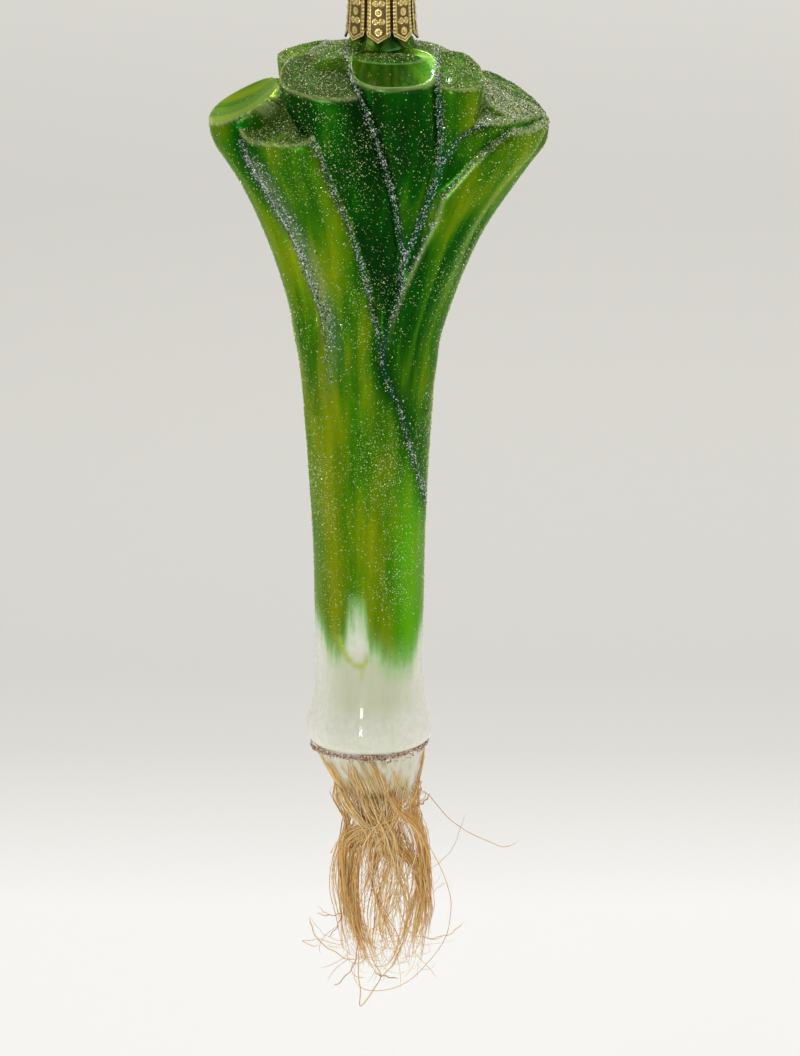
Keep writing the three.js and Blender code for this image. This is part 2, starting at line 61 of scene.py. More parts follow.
def curve(points, h):
    """A smooth line through (h, value) points: cubic pieces whose slopes are the mean of their neighbours' slopes."""
    p = np.array(sorted(points), float)
    x, y = p[:, 0], p[:, 1]
    d = np.diff(y) / np.diff(x)
    m = np.concatenate([d[:1], (d[1:] + d[:-1]) / 2, d[-1:]])
    m[1:-1][d[1:] * d[:-1] <= 0] = 0
    h = np.clip(h, x[0], x[-1])
    i = np.clip(np.searchsorted(x, h) - 1, 0, len(x) - 2)
    w = x[i + 1] - x[i]
    t = (h - x[i]) / w
    return (y[i] * (1 + 2 * t) * (1 - t) ** 2 + y[i + 1] * t * t * (3 - 2 * t)
            + m[i] * w * t * (1 - t) ** 2 - m[i + 1] * w * t * t * (1 - t))


def smooth_max(a, b, k):
    """The larger of two distances, rounded over a band of width k."""
    t = np.clip(0.5 + 0.5 * (a - b) / k, 0, 1)
    return b + (a - b) * t + k * t * (1 - t)


def smooth_min(a, b, k):
    """The smaller of two distances, rounded over a band of width k."""
    return -smooth_max(-a, -b, k)


def soft_plus(v, k):
    """Zero for low v and v for high v, with a soft corner."""
    return np.where(v > 6 * k, v, k * np.log1p(np.exp(np.minimum(v, 6 * k) / k)))


def step(v, low, high):
    """A smooth rise from 0 at low to 1 at high."""
    t = np.clip((v - low) / (high - low), 0, 1)
    return t * t * (3 - 2 * t)


# The envelope of stalk and head
HALF_WIDTH = [(-0.4, 10.1), (0, 10.45), (1.2, 10.7), (3.1, 10.6), (4.6, 10.2), (6.5, 9.65), (8.5, 9.4), (13, 9.2), (24, 9.3),
              (38, 9.55), (52, 10.25), (60, 10.9),
              (66, 11.6), (71, 12.2), (76.5, 13.5), (83, 15.8), (90, 18.8), (97, 22.8), (104, 27.7), (108, 28.6), (125, 28.6)]
CENTRE = [(0, -2.2), (60, -2.3), (70, -2.35), (76, -2.05), (83, -1.7), (90, -1.3), (97, -0.5), (104, -0.1), (125, 0)]
HALF_DEPTH = [(-0.4, 10.1), (0, 10.45), (1.2, 10.7), (3.1, 10.6), (4.6, 10.2), (6.5, 9.65), (8.5, 9.4), (13, 9.2), (24, 9.3),
              (38, 9.55), (52, 10.2), (60, 10.6),
              (70, 11.3), (80, 12.4), (90, 13.8), (100, 15.2), (110, 16.2), (118, 16.8), (125, 17)]
FULL = 2.2

# Border lines of the moulded leaves as (h, x), as seen from the front
SHEATH_LEFT = [(58, -11.5), (64, -10), (69, -9.4), (75.8, -9.9), (82, -11.9), (88.5, -14.4), (93.3, -17), (99.4, -20.2),
               (103, -22.2), (108, -23.4), (114, -24.2)]
SHEATH_RIGHT = [(43, 7.4), (53.5, 4.6), (60, 3), (66.5, 0.5), (71.9, -0.3), (77.6, -1.6), (84.7, -3.1), (92.2, -5.4),
                (98.2, -7.7), (107.5, -11.4), (114, -13.5)]
SECOND_LEFT = [(66, -2), (72, -3), (78, -4.5), (85, -6), (92, -8.5), (98, -10.8), (108, -14.4), (113, -16.6), (120, -17.6)]
SECOND_RIGHT = [(66, 1), (72, 0.6), (80, 2.6), (86.4, 3.6), (92.5, 2.7), (96, 2.2), (99.9, 1.2), (107.8, -1.2),
                (112.3, -2.7), (115.8, -4.2), (120, -6)]
MIDDLE_LEFT = [(78, 2.6), (86.4, 3.6), (92.5, 2.7), (96, 2.2), (99.9, 1.2), (107.8, -1.2), (112.3, -2.7), (115.8, -4.2), (120, -5)]
MIDDLE_RIGHT = [(78, 2.8), (86.4, 3.9), (91.8, 6.2), (95, 7.5), (99.9, 8.8), (105, 9.6), (120, 9.2)]
FOURTH_LEFT = [(84, 3.9), (91.8, 6.5), (95, 7.7), (99.9, 9), (105, 9.8), (120, 9.6)]
FOURTH_RIGHT = [(84, 7), (90, 9), (95, 11), (100, 13), (108, 16), (113, 17.2), (120, 17.6)]
RIDGE = [(60, 0), (66, 0), (70, 0.2), (74, 1.1), (78.6, 2.4), (83.9, 4.5), (89.3, 6.9), (93.2, 8.8), (97.1, 10.1),
         (99.6, 12.1), (102.4, 14.6), (105, 17.2), (107, 20), (108.3, 23), (110, 27)]
RIDGE_BACK = [(74, 0.9), (80, 2.4), (86, 3.6), (91.8, 5.9), (98, 8.1), (101.7, 9.6), (104.2, 10.8), (107.4, 13.2),
              (108.8, 15.6), (110.4, 19), (111.5, 24)]
OUTER_RIGHT = [(60, 7), (70, 8.4), (76, 9.8), (83.4, 12.6), (90.5, 15.4), (97.8, 20.2), (104, 25.6), (108, 27.6), (112, 28)]
SIDE_LEFT = [(60, -12.9), (66, -13.7), (70, -14.6), (76, -15.6), (83, -17.6), (90, -20.2), (97, -23.4), (101, -25.8),
             (104, -27.8), (107, -28.7), (115, -29)]
SIDE_LEFT_IN = [(60, -4), (76, -8), (83, -9), (90, -11), (100, -14), (107, -16.4), (115, -17)]
SIDE_RIGHT = [(60, 8.3), (66, 9.3), (70, 9.8), (76, 11.6), (83, 14.2), (90, 17.6), (97, 22.3), (101, 25.2), (104, 27.4),
              (107, 27.8), (115, 27.8)]
SIDE_RIGHT_IN = [(60, 0), (76, 4), (83, 5), (90, 7), (100, 9), (107, 12), (112, 14.5), (118, 17)]

# Every line and width is kept as a table over height, read at the nearest 0.05 mm
LOW, HIGH, PITCH = 40.0, 130.0, 0.05
HEIGHTS = np.arange(LOW, HIGH, PITCH)


def table(points):
    return curve(points, HEIGHTS)


def at_height(h):
    return np.clip(((h - LOW) / PITCH).astype(np.int32), 0, len(HEIGHTS) - 1)


WIDE, MIDDLE, DEEP = table(HALF_WIDTH), table(CENTRE), table(HALF_DEPTH)


def unit(v):
    v = np.array(v, float)
    return v / np.linalg.norm(v)


def rank_leaf(left, right, proud, thick, tip, normal, dish, rim=0.9, side=-1, grow=0.5):
    """A leaf of the front (side -1) or back (side 1) rank: its slice at each height is an oval that fills the space
    between two border lines and lies against the envelope, turned as the envelope turns."""
    left, right = table(left), table(right)
    across = (left + right) / 2
    half = np.maximum((right - left) / 2 + grow, 0.3)
    x = np.clip((across - MIDDLE) / WIDE, -0.9, 0.9)
    k = (1 - np.abs(x) ** FULL) ** (1 / FULL)
    slope = -side * DEEP / WIDE * np.sign(x) * np.abs(x) ** (FULL - 1) * k ** (1 - FULL)
    turn = np.arctan(np.clip(slope, -1.2, 1.2))
    inset = thick - table(proud)
    return dict(cx=across + np.sin(turn) * side * inset, cy=side * DEEP * k - np.cos(turn) * side * inset,
                w=half / np.cos(turn), t=np.full(len(HEIGHTS), float(thick)), ca=np.cos(turn), sa=np.sin(turn),
                tip=np.array(tip, float), normal=unit(normal), dish=dish, rim=rim, power=2.6)


def side_leaf(left, right, depth, middle, tip, normal, dish, rim):
    """A leaf at the left or right side, with oval slices as deep as the head."""
    left, right = table(left), table(right)
    return dict(cx=(left + right) / 2, cy=table(middle), w=(right - left) / 2, t=table(depth), ca=np.ones(len(HEIGHTS)),
                sa=np.zeros(len(HEIGHTS)), tip=np.array(tip, float), normal=unit(normal), dish=dish, rim=rim, power=2.5)


def turned(line):
    """A border line turned half way round the stalk's centre line."""
    return [(h, 2 * float(curve(CENTRE, h)) - x) for h, x in line]


def back_leaf(left, right, proud, thick, tip, normal, dish, rim=0.9, grow=0.5):
    return rank_leaf(turned(right), turned(left), proud, thick, tip, normal, dish, rim, 1, grow)


OUTER = [(58, -0.6), (66, 0.3), (72, 0.9), (90, 1.2), (110, 1.5)]
INNER = [(66, -1.2), (80, -0.9), (92, -0.3), (104, 0.2), (116, 0.4)]
SUNK = [(84, -1.2), (92, -0.9), (104, -0.5), (116, 0)]
RIDGED = [(60, -1), (70, 0.2), (80, 0.9), (110, 1.5)]
BEHIND = [(60, -2), (78, -0.9), (90, -0.5), (110, 0)]
LEAVES = {
    "side_left": side_leaf(SIDE_LEFT, SIDE_LEFT_IN, [(60, 7), (80, 8.2), (107, 9), (114, 9)],
                           [(60, 0), (90, 0), (104, -1), (120, -1)], (-22.4, -8, 111), (-0.447, -0.054, 0.893), 1.6, 0.7),
    "side_right": side_leaf(SIDE_RIGHT_IN, SIDE_RIGHT, [(60, 7), (80, 8.2), (107, 9.6), (114, 9.6)],
                            [(60, 0), (120, 0)], (21, -2, 111.15), (0.505, -0.11, 0.856), 0.8, 0.8),
    "sheath": rank_leaf(SHEATH_LEFT, SHEATH_RIGHT, OUTER, 4, (-17.3, -14, 106.75), (-0.2, -0.46, 0.88), 0.7, 1.1),
    "second": rank_leaf(SECOND_LEFT, SECOND_RIGHT, INNER, 6, (-10.5, -15, 115), (0.03, -0.38, 0.92), 0.15),
    "middle": rank_leaf(MIDDLE_LEFT, MIDDLE_RIGHT, [(78, -1.2), (92, -0.4), (104, 0.4), (116, 0.8)], 6.6,
                        (1.5, -16, 116.7), (0, -0.33, 0.94), 0.7, 0.7),
    "fourth": rank_leaf(FOURTH_LEFT, FOURTH_RIGHT, SUNK, 6, (13.5, -14, 116), (0.1, -0.34, 0.93), 0.15),
    "outer": rank_leaf(RIDGE, OUTER_RIGHT, RIDGED, 4, (24, -9, 108.4), (0.1, -0.25, 0.96), 0.4, 0.7),
    "outer_lip": rank_leaf(RIDGE_BACK, OUTER_RIGHT, BEHIND, 4, (22, -8, 110.2), (0.1, -0.2, 0.97), 0.4, 0.6, -1, 0.2),
    "back_sheath": back_leaf(SHEATH_LEFT, SHEATH_RIGHT, OUTER, 4.2, (16.5, 14, 107), (0.22, 0.6, 0.76), 0.9),
    "back_second": back_leaf(SECOND_LEFT, SECOND_RIGHT, INNER, 5.2, (10, 15, 113), (0.05, 0.38, 0.92), 0.5),
    "back_middle": back_leaf(MIDDLE_LEFT, MIDDLE_RIGHT, [(78, -1.2), (92, -0.4), (104, 0.3), (116, 0.6)], 5.2,
                             (-2, 16, 115.2), (0, 0.36, 0.93), 1.2),
    "back_fourth": back_leaf(FOURTH_LEFT, FOURTH_RIGHT, SUNK, 5.6, (-14, 10, 117), (-0.18, -0.08, 0.98), 1.3, 0.6, 1.2),
    "back_outer": back_leaf(RIDGE, OUTER_RIGHT, RIDGED, 4, (-25, 9, 108.6), (-0.42, -0.12, 0.9), 0.4),
    "back_lip": back_leaf(RIDGE_BACK, OUTER_RIGHT, BEHIND, 4, (-22, 8, 110.4), (-0.42, -0.12, 0.9), 0.4, 0.9, 0.2),
}
CORE_WIDE = table([(40, 7), (58, 9.4), (70, 10.2), (80, 12), (90, 15), (100, 20), (108, 24), (125, 25)])
CORE_DEEP = table([(40, 7), (58, 9.2), (70, 9.4), (80, 9.6), (90, 10), (100, 10), (110, 9), (125, 8.8)])


def leaf_distance(leaf, x, y, h, i):
    """Distances to a leaf's side and to its dished end face; the leaf lies inside both."""
    dx, dy = x - leaf["cx"][i], y - leaf["cy"][i]
    ca, sa, w, t = leaf["ca"][i], leaf["sa"][i], leaf["w"][i], leaf["t"][i]
    u, v = np.abs((dx * ca + dy * sa) / w), np.abs((-dx * sa + dy * ca) / t)
    rho = (u ** leaf["power"] + v ** leaf["power"]) ** (1 / leaf["power"])
    tip, normal = leaf["tip"], leaf["normal"]
    end = (x - tip[0]) * normal[0] + (y - tip[1]) * normal[1] + (h - tip[2]) * normal[2]
    return (rho - 1) * np.minimum(w, t), end + leaf["dish"] * np.clip(1 - rho * rho, 0, 1)


def wrap_edge(x, y, h):
    """How far a point of the stalk lies inside the edge of the leaf that wraps round it, on the front and the back."""
    edge = curve(SHEATH_RIGHT + [(30, 11)], h)
    return np.where(y < 0, edge - x, x - (2 * curve(CENTRE, h) - edge))


def wrap_fade(h):
    return np.clip((h - 30) / 14, 0, 1) * np.clip((76 - h) / 8, 0, 1)


def wrap_step(x, y, h):
    """The wrapping leaf stands 0.55 mm out of the stalk with a soft edge, and melts into it at both sides."""
    return 0.55 * wrap_fade(h) * np.minimum(np.abs(y) / 3, 1) / (1 + np.exp(-wrap_edge(x, y, h) / 0.28))


def core_distance(x, y, h, i):
    """The mass between the leaf ends: an oval slice under a roof that falls to both sides."""
    rho = ((np.abs(x - MIDDLE[i]) / CORE_WIDE[i]) ** 2.4 + (np.abs(y) / CORE_DEEP[i]) ** 2.4) ** (1 / 2.4)
    shoulder = np.where(x < 0, 1.3 * soft_plus(-x - 11.5, 1.6), 0.9 * soft_plus(x - 10, 2))
    roof = h - (120.2 - 0.012 * y * y - shoulder)
    return smooth_max((rho - 1) * CORE_DEEP[i], roof * 0.75, 1.2)


def glass_distance(x, y, h):
    """The blown form: stalk, core, leaves and neck melted together."""
    i = at_height(h)
    sink = np.interp(h, [56, 70, 90, 100], [0, 0.5, 3, 6])
    a, b = WIDE[i] - sink, DEEP[i] - sink
    f = (np.hypot((x - MIDDLE[i]) / a, y / b) - 1) * b - wrap_step(x, y, h)
    f = smooth_min(smooth_max(f, h - 100, 1), core_distance(x, y, h, i), 1)
    for leaf in LEAVES.values():
        side, end = leaf_distance(leaf, x, y, h, i)
        f = smooth_min(f, smooth_max(side, end, leaf["rim"]), 0.5)
    return smooth_min(f, np.where(h > 110, np.hypot(x, y) - NECK_RADIUS, 9), 1.2)


GROOVES = [(SHEATH_LEFT, 0.6, 74, 107), (SHEATH_RIGHT, 0.5, 40, 109), (SECOND_RIGHT, 0.5, 80, 121), (MIDDLE_RIGHT, 0.5, 76, 121),
           (RIDGE, 0.45, 65, 84), (RIDGE, 0.3, 82, 109), (RIDGE_BACK, 0.4, 88, 111)]


def near_line(x, h, line, width):
    """How close a point lies to a border line, seen from the front: a bell over the distance square to the line."""
    slope = curve(line, h + 0.5) - curve(line, h - 0.5)
    return np.exp(-((x - curve(line, h)) / np.sqrt(1 + slope ** 2) / width) ** 2)


def soften(values, passes=3, width=9):
    """A row table with its corners averaged away, its two ends kept."""
    reach = 3 * width
    low = 2 * values[0] - values[reach:0:-1]
    high = 2 * values[-1] - values[-2:-reach - 2:-1]
    v = np.concatenate([low, values, high])
    for _ in range(passes):
        v = np.convolve(v, np.ones(width) / width, "same")
    v = v[reach:-reach]
    return v + np.linspace(values[0] - v[0], values[-1] - v[-1], len(v))


def head_rays(columns, rows):
    """Rays that sweep from the stalk (row 0) over the rim of the head to the foot of the neck (last row)."""
    turn = np.arange(columns) / columns * 2 * np.pi
    row = np.linspace(0, 1, rows)
    h = soften(np.interp(row, [0, 0.45, 0.8, 1], [58, 92, 102, 104]))
    up = soften(np.radians(np.interp(row, [0, 0.3, 0.45, 0.62, 0.8, 1], [0, 4, 14, 34, 52, 69.5])))
    aspect = soften(np.interp(row, [0, 0.5, 0.8, 1], [1, 1.55, 1.5, 1]))
    dx, dy = np.outer(aspect, np.cos(turn)), np.outer(np.ones(rows), -np.sin(turn))
    n = np.hypot(dx, dy)
    level, rise = np.cos(up)[:, None], np.sin(up)[:, None]
    from_x = (curve(CENTRE, h) * (1 - row ** 3))[:, None] + 0 * dx
    start = np.stack([from_x, 0 * dx, h[:, None] + 0 * dx], -1)
    return start, np.stack([dx / n * level, dy / n * level, rise + 0 * dx], -1)


def glass_reach(start, way):
    """How far each ray runs before it leaves the glass, from far outside inwards and then by halving."""
    shape = start.shape[:-1]
    start, way = start.reshape(-1, 3), way.reshape(-1, 3)
    near, far = np.zeros(len(start)), np.full(len(start), 46.0)
    left = np.arange(len(start))
    for t in np.arange(45.0, 0.5, -1.0):
        p = start[left] + way[left] * t
        inside = glass_distance(p[:, 0], p[:, 1], p[:, 2]) < 0
        near[left[inside]], far[left[inside]] = t, t + 1
        left = left[~inside]
        if not len(left):
            break
    for _ in range(10):
        mid = (near + far) / 2
        p = start + way * mid[:, None]
        inside = glass_distance(p[:, 0], p[:, 1], p[:, 2]) < 0
        near, far = np.where(inside, mid, near), np.where(inside, far, mid)
    return ((near + far) / 2).reshape(shape)


def ring(columns, x, radius, h):
    """A level circle of points."""
    turn = np.arange(columns) / columns * 2 * np.pi
    return np.stack([x + radius * np.cos(turn), -radius * np.sin(turn), h + 0 * turn], -1)


def stalk_ring(columns, h, inset=0.0):
    """A level slice of the stalk, with the wrapping leaf's step on the outside."""
    turn = np.arange(columns) / columns * 2 * np.pi
    c, a, b = curve(CENTRE, h), curve(HALF_WIDTH, h), curve(HALF_DEPTH, h)
    x, y = np.cos(turn), -np.sin(turn)
    out = 0 if inset else wrap_step(c + a * x, b * y, h + 0 * x)
    return np.stack([c + (a - inset + out) * x, (b - inset + out) * y, h + 0 * x], -1)


def band_faces(a, b, n, m):
    """Triangles between a ring of n points starting at a and the next ring of m points starting at b."""
    if n == 1:
        i = np.arange(m)
        return np.stack([a + 0 * i, b + i, b + (i + 1) % m], -1)
    i = np.arange(n)
    j = (i + 1) % n
    if m == 1:
        return np.stack([a + i, b + 0 * i, a + j], -1)
    if n == m:
        return np.concatenate([np.stack([a + i, b + j, a + j], -1), np.stack([a + i, b + i, b + j], -1)])
    share = n // m
    k = np.arange(m)
    fans = np.stack([a + i, b + i // share, a + j], -1)
    return np.concatenate([fans, np.stack([a + (k + 1) * share % n, b + k, b + (k + 1) % m], -1)])


def join_rings(rings, loop=False):
    """Rings of points, each an array, joined into one closed skin of triangles."""
    counts = [len(r) for r in rings]
    starts = np.concatenate([[0], np.cumsum(counts)])
    pairs = [(k, (k + 1) % len(rings)) for k in range(len(rings) - (0 if loop else 1))]
    faces = [band_faces(starts[a], starts[b], counts[a], counts[b]) for a, b in pairs]
    return np.concatenate(rings), np.concatenate(faces)


def metres(points):
    p = np.array(points, float)
    p[..., 2] -= LOOP_TOP
    return p / 1000


def piece_from(name, points, faces, material, replaces=(), smooth=True, marks=None):
    """A mesh piece from points in millimetres and triangles, with named values per point, on the ornament's one body."""
    mesh = bpy.data.meshes.new(name)
    mesh.vertices.add(len(points))
    mesh.vertices.foreach_set("co", metres(points).ravel())
    mesh.loops.add(faces.size)
    mesh.loops.foreach_set("vertex_index", faces.astype(np.int32).ravel())
    mesh.polygons.add(len(faces))
    mesh.polygons.foreach_set("loop_start", np.arange(0, faces.size, 3, dtype=np.int32))
    mesh.polygons.foreach_set("use_smooth", np.full(len(faces), smooth))
    mesh.update(calc_edges=True)
    for mark, values in (marks or {}).items():
        kind, field = ("FLOAT_VECTOR", "vector") if np.ndim(values) == 2 else ("FLOAT", "value")
        mesh.attributes.new(mark, kind, "POINT").data.foreach_set(field, np.ascontiguousarray(values, np.float32).ravel())
    mesh.materials.append(material)
    piece = bpy.data.objects.new(name, mesh)
    bpy.context.scene.collection.objects.link(piece)
    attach(piece, "root")
    if replaces:
        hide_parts(*replaces)
    return piece


def paint(r, g, b):
    """A colour given as screen values 0 to 255, in linear light."""
    c = np.array([r, g, b]) / 255
    return (*np.where(c < 0.04045, c / 12.92, ((c + 0.055) / 1.055) ** 2.4), 1.0)


class Nodes:
    """A material's node tree with short calls for the nodes used here."""

    def __init__(self, name):
        self.material = bpy.data.materials.new(name)
        self.material.use_nodes = True
        self.tree = self.material.node_tree
        self.shader = self.tree.nodes["Principled BSDF"]

    def put(self, target, value):
        if isinstance(value, bpy.types.NodeSocket):
            self.tree.links.new(value, target)
        else:
            target.default_value = value

    def node(self, kind, inputs=(), **settings):
        node = self.tree.nodes.new(kind)
        for key, value in settings.items():
            setattr(node, key, value)
        for key, value in dict(inputs).items():
            self.put(node.inputs[key], value)
        return node

    def mark(self, name, output="Fac"):
        return self.node("ShaderNodeAttribute", attribute_name=name).outputs[output]

    def math(self, operation, a, b=0.0, clamp=False):
        return self.node("ShaderNodeMath", {0: a, 1: b}, operation=operation, use_clamp=clamp).outputs[0]

    def noise(self, vector, scale, detail=3.0, rough=0.55):
        inputs = {"Vector": vector, "Scale": scale, "Detail": detail, "Roughness": rough}
        return self.node("ShaderNodeTexNoise", inputs).outputs["Fac"]

    def stretch(self, vector, x, y, z):
        return self.node("ShaderNodeVectorMath", {0: vector, 1: (x, y, z)}, operation="MULTIPLY").outputs[0]

    def span(self, value, low, high, to_low=0.0, to_high=1.0):
        inputs = {"Value": value, "From Min": low, "From Max": high, "To Min": to_low, "To Max": to_high}
        return self.node("ShaderNodeMapRange", inputs, interpolation_type="SMOOTHSTEP").outputs[0]

    def blend(self, share, a, b):
        node = self.node("ShaderNodeMix", data_type="RGBA")
        self.put(node.inputs[0], share)
        self.put(node.inputs[6], a)
        self.put(node.inputs[7], b)
        return node.outputs[2]

    def ramp(self, value, stops):
        node = self.node("ShaderNodeValToRGB", {"Fac": value})
        band = node.color_ramp
        while len(band.elements) < len(stops):
            band.elements.new(0.5)
        for element, (place, colour) in zip(band.elements, stops):
            element.position, element.color = place, colour
        return node.outputs["Color"]

    def bump(self, height, strength, distance):
        return self.node("ShaderNodeBump", {"Height": height, "Strength": strength, "Distance": distance}).outputs[0]

    def finish(self, **sockets):
        for key, value in sockets.items():
            self.put(self.shader.inputs[key.replace("_", " ")], value)
        return self.material


def lacquered_glass():
    """Green lacquer brushed over silvered glass, thinning out to frosted white on the bulb."""
    n = Nodes("lacquered glass")
    fan = n.mark("fan", "Vector")
    rise = n.node("ShaderNodeSeparateXYZ", {0: fan}).outputs[2]
    streak = n.noise(n.stretch(fan, 4.5, 4.5, 3), 1.0, 3, 0.5)
    fine = n.noise(n.stretch(fan, 12, 12, 4), 1.0, 3, 0.6)
    cloud = n.noise(n.stretch(fan, 2.2, 2.2, 4.5), 1.0, 3, 0.5)

    def tone(*shares):
        total = n.mark("tint")
        for value, share in zip((streak, fine, cloud), shares):
            total = n.math("ADD", total, n.math("MULTIPLY", value, share))
        return total

    greens = n.ramp(n.span(tone(0.55, 0.2, 0.8), 0.5, 1.06), [(0.0, paint(0, 46, 2)), (0.25, paint(4, 78, 0)), (0.5, paint(52, 110, 0)),
                                              (0.75, paint(98, 132, 0)), (1.0, paint(134, 152, 2))])
    stalk = n.ramp(n.span(tone(0.35, 0.1, 0.95), 0.38, 1.02), [(0.0, paint(12, 88, 0)), (0.35, paint(70, 122, 0)),
                                                               (0.65, paint(106, 134, 0)), (1.0, paint(136, 152, 2))])
    colour = n.blend(n.span(rise, 0.42, 0.8), stalk, greens)
    colour = n.blend(n.mark("bright"), colour, paint(88, 178, 4))
    colour = n.blend(n.math("MULTIPLY", n.mark("groove"), 0.75), colour, paint(16, 66, 44))
    # whitish teal beside the sheath's left border: glitter haze and a painted reflection
    colour = n.blend(n.math("MULTIPLY", n.mark("glitter_and_painted_reflection"), 0.5), colour, paint(120, 140, 108))
    colour = n.blend(n.math("MULTIPLY", n.mark("dust"), 0.4), colour, paint(98, 118, 30))
    # painted highlight: pale green on rims and ridges, and the pale glitter of the right end face
    colour = n.blend(n.mark("painted_highlight_and_pale_end"), colour, paint(190, 206, 128))
    brush = n.math("SUBTRACT", n.noise(n.stretch(fan, 6, 6, 14), 1.0, 5, 0.65), 0.5)
    brush = n.math("ADD", brush, n.math("MULTIPLY", n.math("SUBTRACT", fine, 0.5), 0.4))
    green = n.span(n.math("ADD", n.mark("green"), n.math("MULTIPLY", brush, 0.5)), -0.1, 1.0)
    mottle = n.noise(n.stretch(fan, 10, 10, 90), 1.0, 5, 0.75)
    white = n.blend(n.span(mottle, 0.3, 0.7), paint(236, 235, 221), paint(250, 249, 238))
    # greenish grey over the upper bulb: thin green veil and painted shade
    white = n.blend(n.mark("veil_and_painted_shade"), white, paint(204, 206, 176))
    white = n.blend(n.mark("stain"), white, paint(176, 146, 86))
    thin = n.blend(n.math("MULTIPLY", green, 1.7, True), white, paint(146, 200, 112))
    colour = n.blend(n.span(green, 0.25, 1.0), thin, colour)
    colour = n.blend(n.mark("lime"), colour, paint(176, 192, 60))
    rough = n.math("ADD", n.span(mottle, 0.3, 0.7, 0.26, 0.36), n.math("MULTIPLY", n.mark("dust"), 0.4))
    ripple = n.math("ADD", n.math("MULTIPLY", streak, 0.6), n.math("MULTIPLY", cloud, 1.2))
    metal = n.math("MULTIPLY", n.span(green, 0.35, 1.0), n.math("SUBTRACT", 0.75, n.math("MULTIPLY", n.mark("dust"), 0.6)))
    # no metal under the painted highlights
    metal = n.math("MULTIPLY", metal, n.math("SUBTRACT", 1.0, n.mark("painted_highlight_and_pale_end")))
    return n.finish(Base_Color=colour, Metallic=metal, Roughness=rough, Coat_Weight=n.mark("gloss"),
                    Coat_Roughness=0.05, Coat_IOR=1.5, Specular_IOR_Level=0.1, Specular_Tint=paint(196, 236, 120),
                    Normal=n.bump(ripple, 0.22, 0.0006))


def glitter_grains(name, stops, metal=0.25):
    """Small cut grains, each with a tone of its own."""
    n = Nodes(name)
    return n.finish(Base_Color=n.ramp(n.mark("tone"), stops), Metallic=metal, Roughness=0.22, Coat_Weight=0.5, Coat_Roughness=0.1)


def pressed_gold():
    """Pale gold pressed metal with brown in its recesses and brighter edges."""
    n = Nodes("pressed gold")
    recess = n.mark("recess")
    place = n.node("ShaderNodeTexCoord").outputs["Object"]
    wear = n.noise(place, 900.0, 3)
    gold = n.blend(wear, paint(214, 184, 108), paint(246, 224, 152))
    colour = n.blend(n.span(recess, 0.3, 0.9), gold, paint(66, 46, 18))
    return n.finish(Base_Color=colour, Metallic=1.0, Roughness=n.span(recess, 0.2, 0.9, 0.24, 0.55),
                    Normal=n.bump(wear, 0.15, 0.0001))


def drawn_wire():
    n = Nodes("drawn wire")
    place = n.node("ShaderNodeTexCoord").outputs["Object"]
    wear = n.noise(n.stretch(place, 1, 1, 0.2), 2500.0, 2)
    return n.finish(Base_Color=n.blend(wear, paint(196, 164, 110), paint(232, 206, 156)), Metallic=1.0,
                    Roughness=n.span(wear, 0.3, 0.7, 0.2, 0.36), Normal=n.bump(wear, 0.1, 0.00005))


def plum_glue():
    n = Nodes("plum glue")
    place = n.node("ShaderNodeTexCoord").outputs["Object"]
    grain = n.noise(place, 2600.0, 3, 0.7)
    colour = n.ramp(grain, [(0.3, paint(88, 52, 28)), (0.5, paint(146, 104, 72)), (0.62, paint(192, 154, 124)),
                            (0.75, paint(234, 212, 188))])
    return n.finish(Base_Color=colour, Roughness=0.5, Coat_Weight=0.3, Coat_Roughness=0.2, Normal=n.bump(grain, 0.6, 0.0003))


def plant_fibre():
    """Dry fibre, golden to brown from strand to strand, with a fine grain along each."""
    n = Nodes("plant fibre")
    tone = n.mark("tone")
    place = n.node("ShaderNodeTexCoord").outputs["Object"]
    grain = n.noise(n.stretch(place, 1, 1, 0.15), 4000.0, 3)
    shade = n.math("ADD", tone, n.math("MULTIPLY", n.math("SUBTRACT", grain, 0.5), 0.35))
    colour = n.ramp(shade, [(0.0, paint(196, 142, 76)), (0.25, paint(240, 190, 112)), (0.55, paint(255, 216, 142)),
                            (0.85, paint(255, 234, 176)), (1.0, paint(255, 246, 212))])
    return n.finish(Base_Color=colour, Roughness=0.5, Coat_Weight=0.2, Coat_Roughness=0.3, Normal=n.bump(grain, 0.3, 0.00008))


def pale_floor():
    """A pale floor with painted shade: a little greyer behind the ornament, paler again far back."""
    n = Nodes("pale floor")
    place = n.node("ShaderNodeTexCoord").outputs["Object"]
    back = n.node("ShaderNodeSeparateXYZ", {0: place}).outputs[1]
    away = n.math("MULTIPLY", n.math("SUBTRACT", back, 0.2), 0.8)
    # the greyer band behind the ornament is painted shade
    colour = n.ramp(away, [(0.06, paint(244, 243, 241)), (0.15, paint(218, 216, 212)), (0.2, paint(212, 210, 206)),
                           (0.42, paint(220, 218, 213)), (0.65, paint(227, 225, 220)), (1.0, paint(250, 248, 243))])
    return n.finish(Base_Color=colour, Roughness=0.9)


# Camera at the photograph's viewing angle
camera_data = bpy.data.cameras.new("camera")
camera_data.sensor_fit = "VERTICAL"
camera_data.sensor_height = 24.0
camera_data.lens = 24.0 * 5623 / 1056
camera = bpy.data.objects.new("camera", camera_data)
camera.location = metres((3.06, -920.0, 296.0))
camera.rotation_euler = (math.pi / 2 - math.atan(259.3 / 920), 0, 0)
bpy.context.scene.collection.objects.link(camera)
bpy.context.scene.camera = camera

rng = np.random.default_rng(11)


# The knob under the bulb as (h, radius), leaning a little to the right as it goes down
KNOB = [(-12.78, 0.8), (-12.7, 1.4), (-12.4, 2.5), (-11.9, 3.7), (-11.3, 4.7), (-10.2, 5.85), (-9, 6.6), (-7.3, 7.35), (-5.5, 8),
        (-4, 8.55), (-2.5, 9), (-1.2, 9.3), (-0.75, 9.65), (-0.55, 9.92)]


def knob_centre(h):
    return BULB_AXIS + KNOB_LEAN * np.maximum(-1 - h, 0)


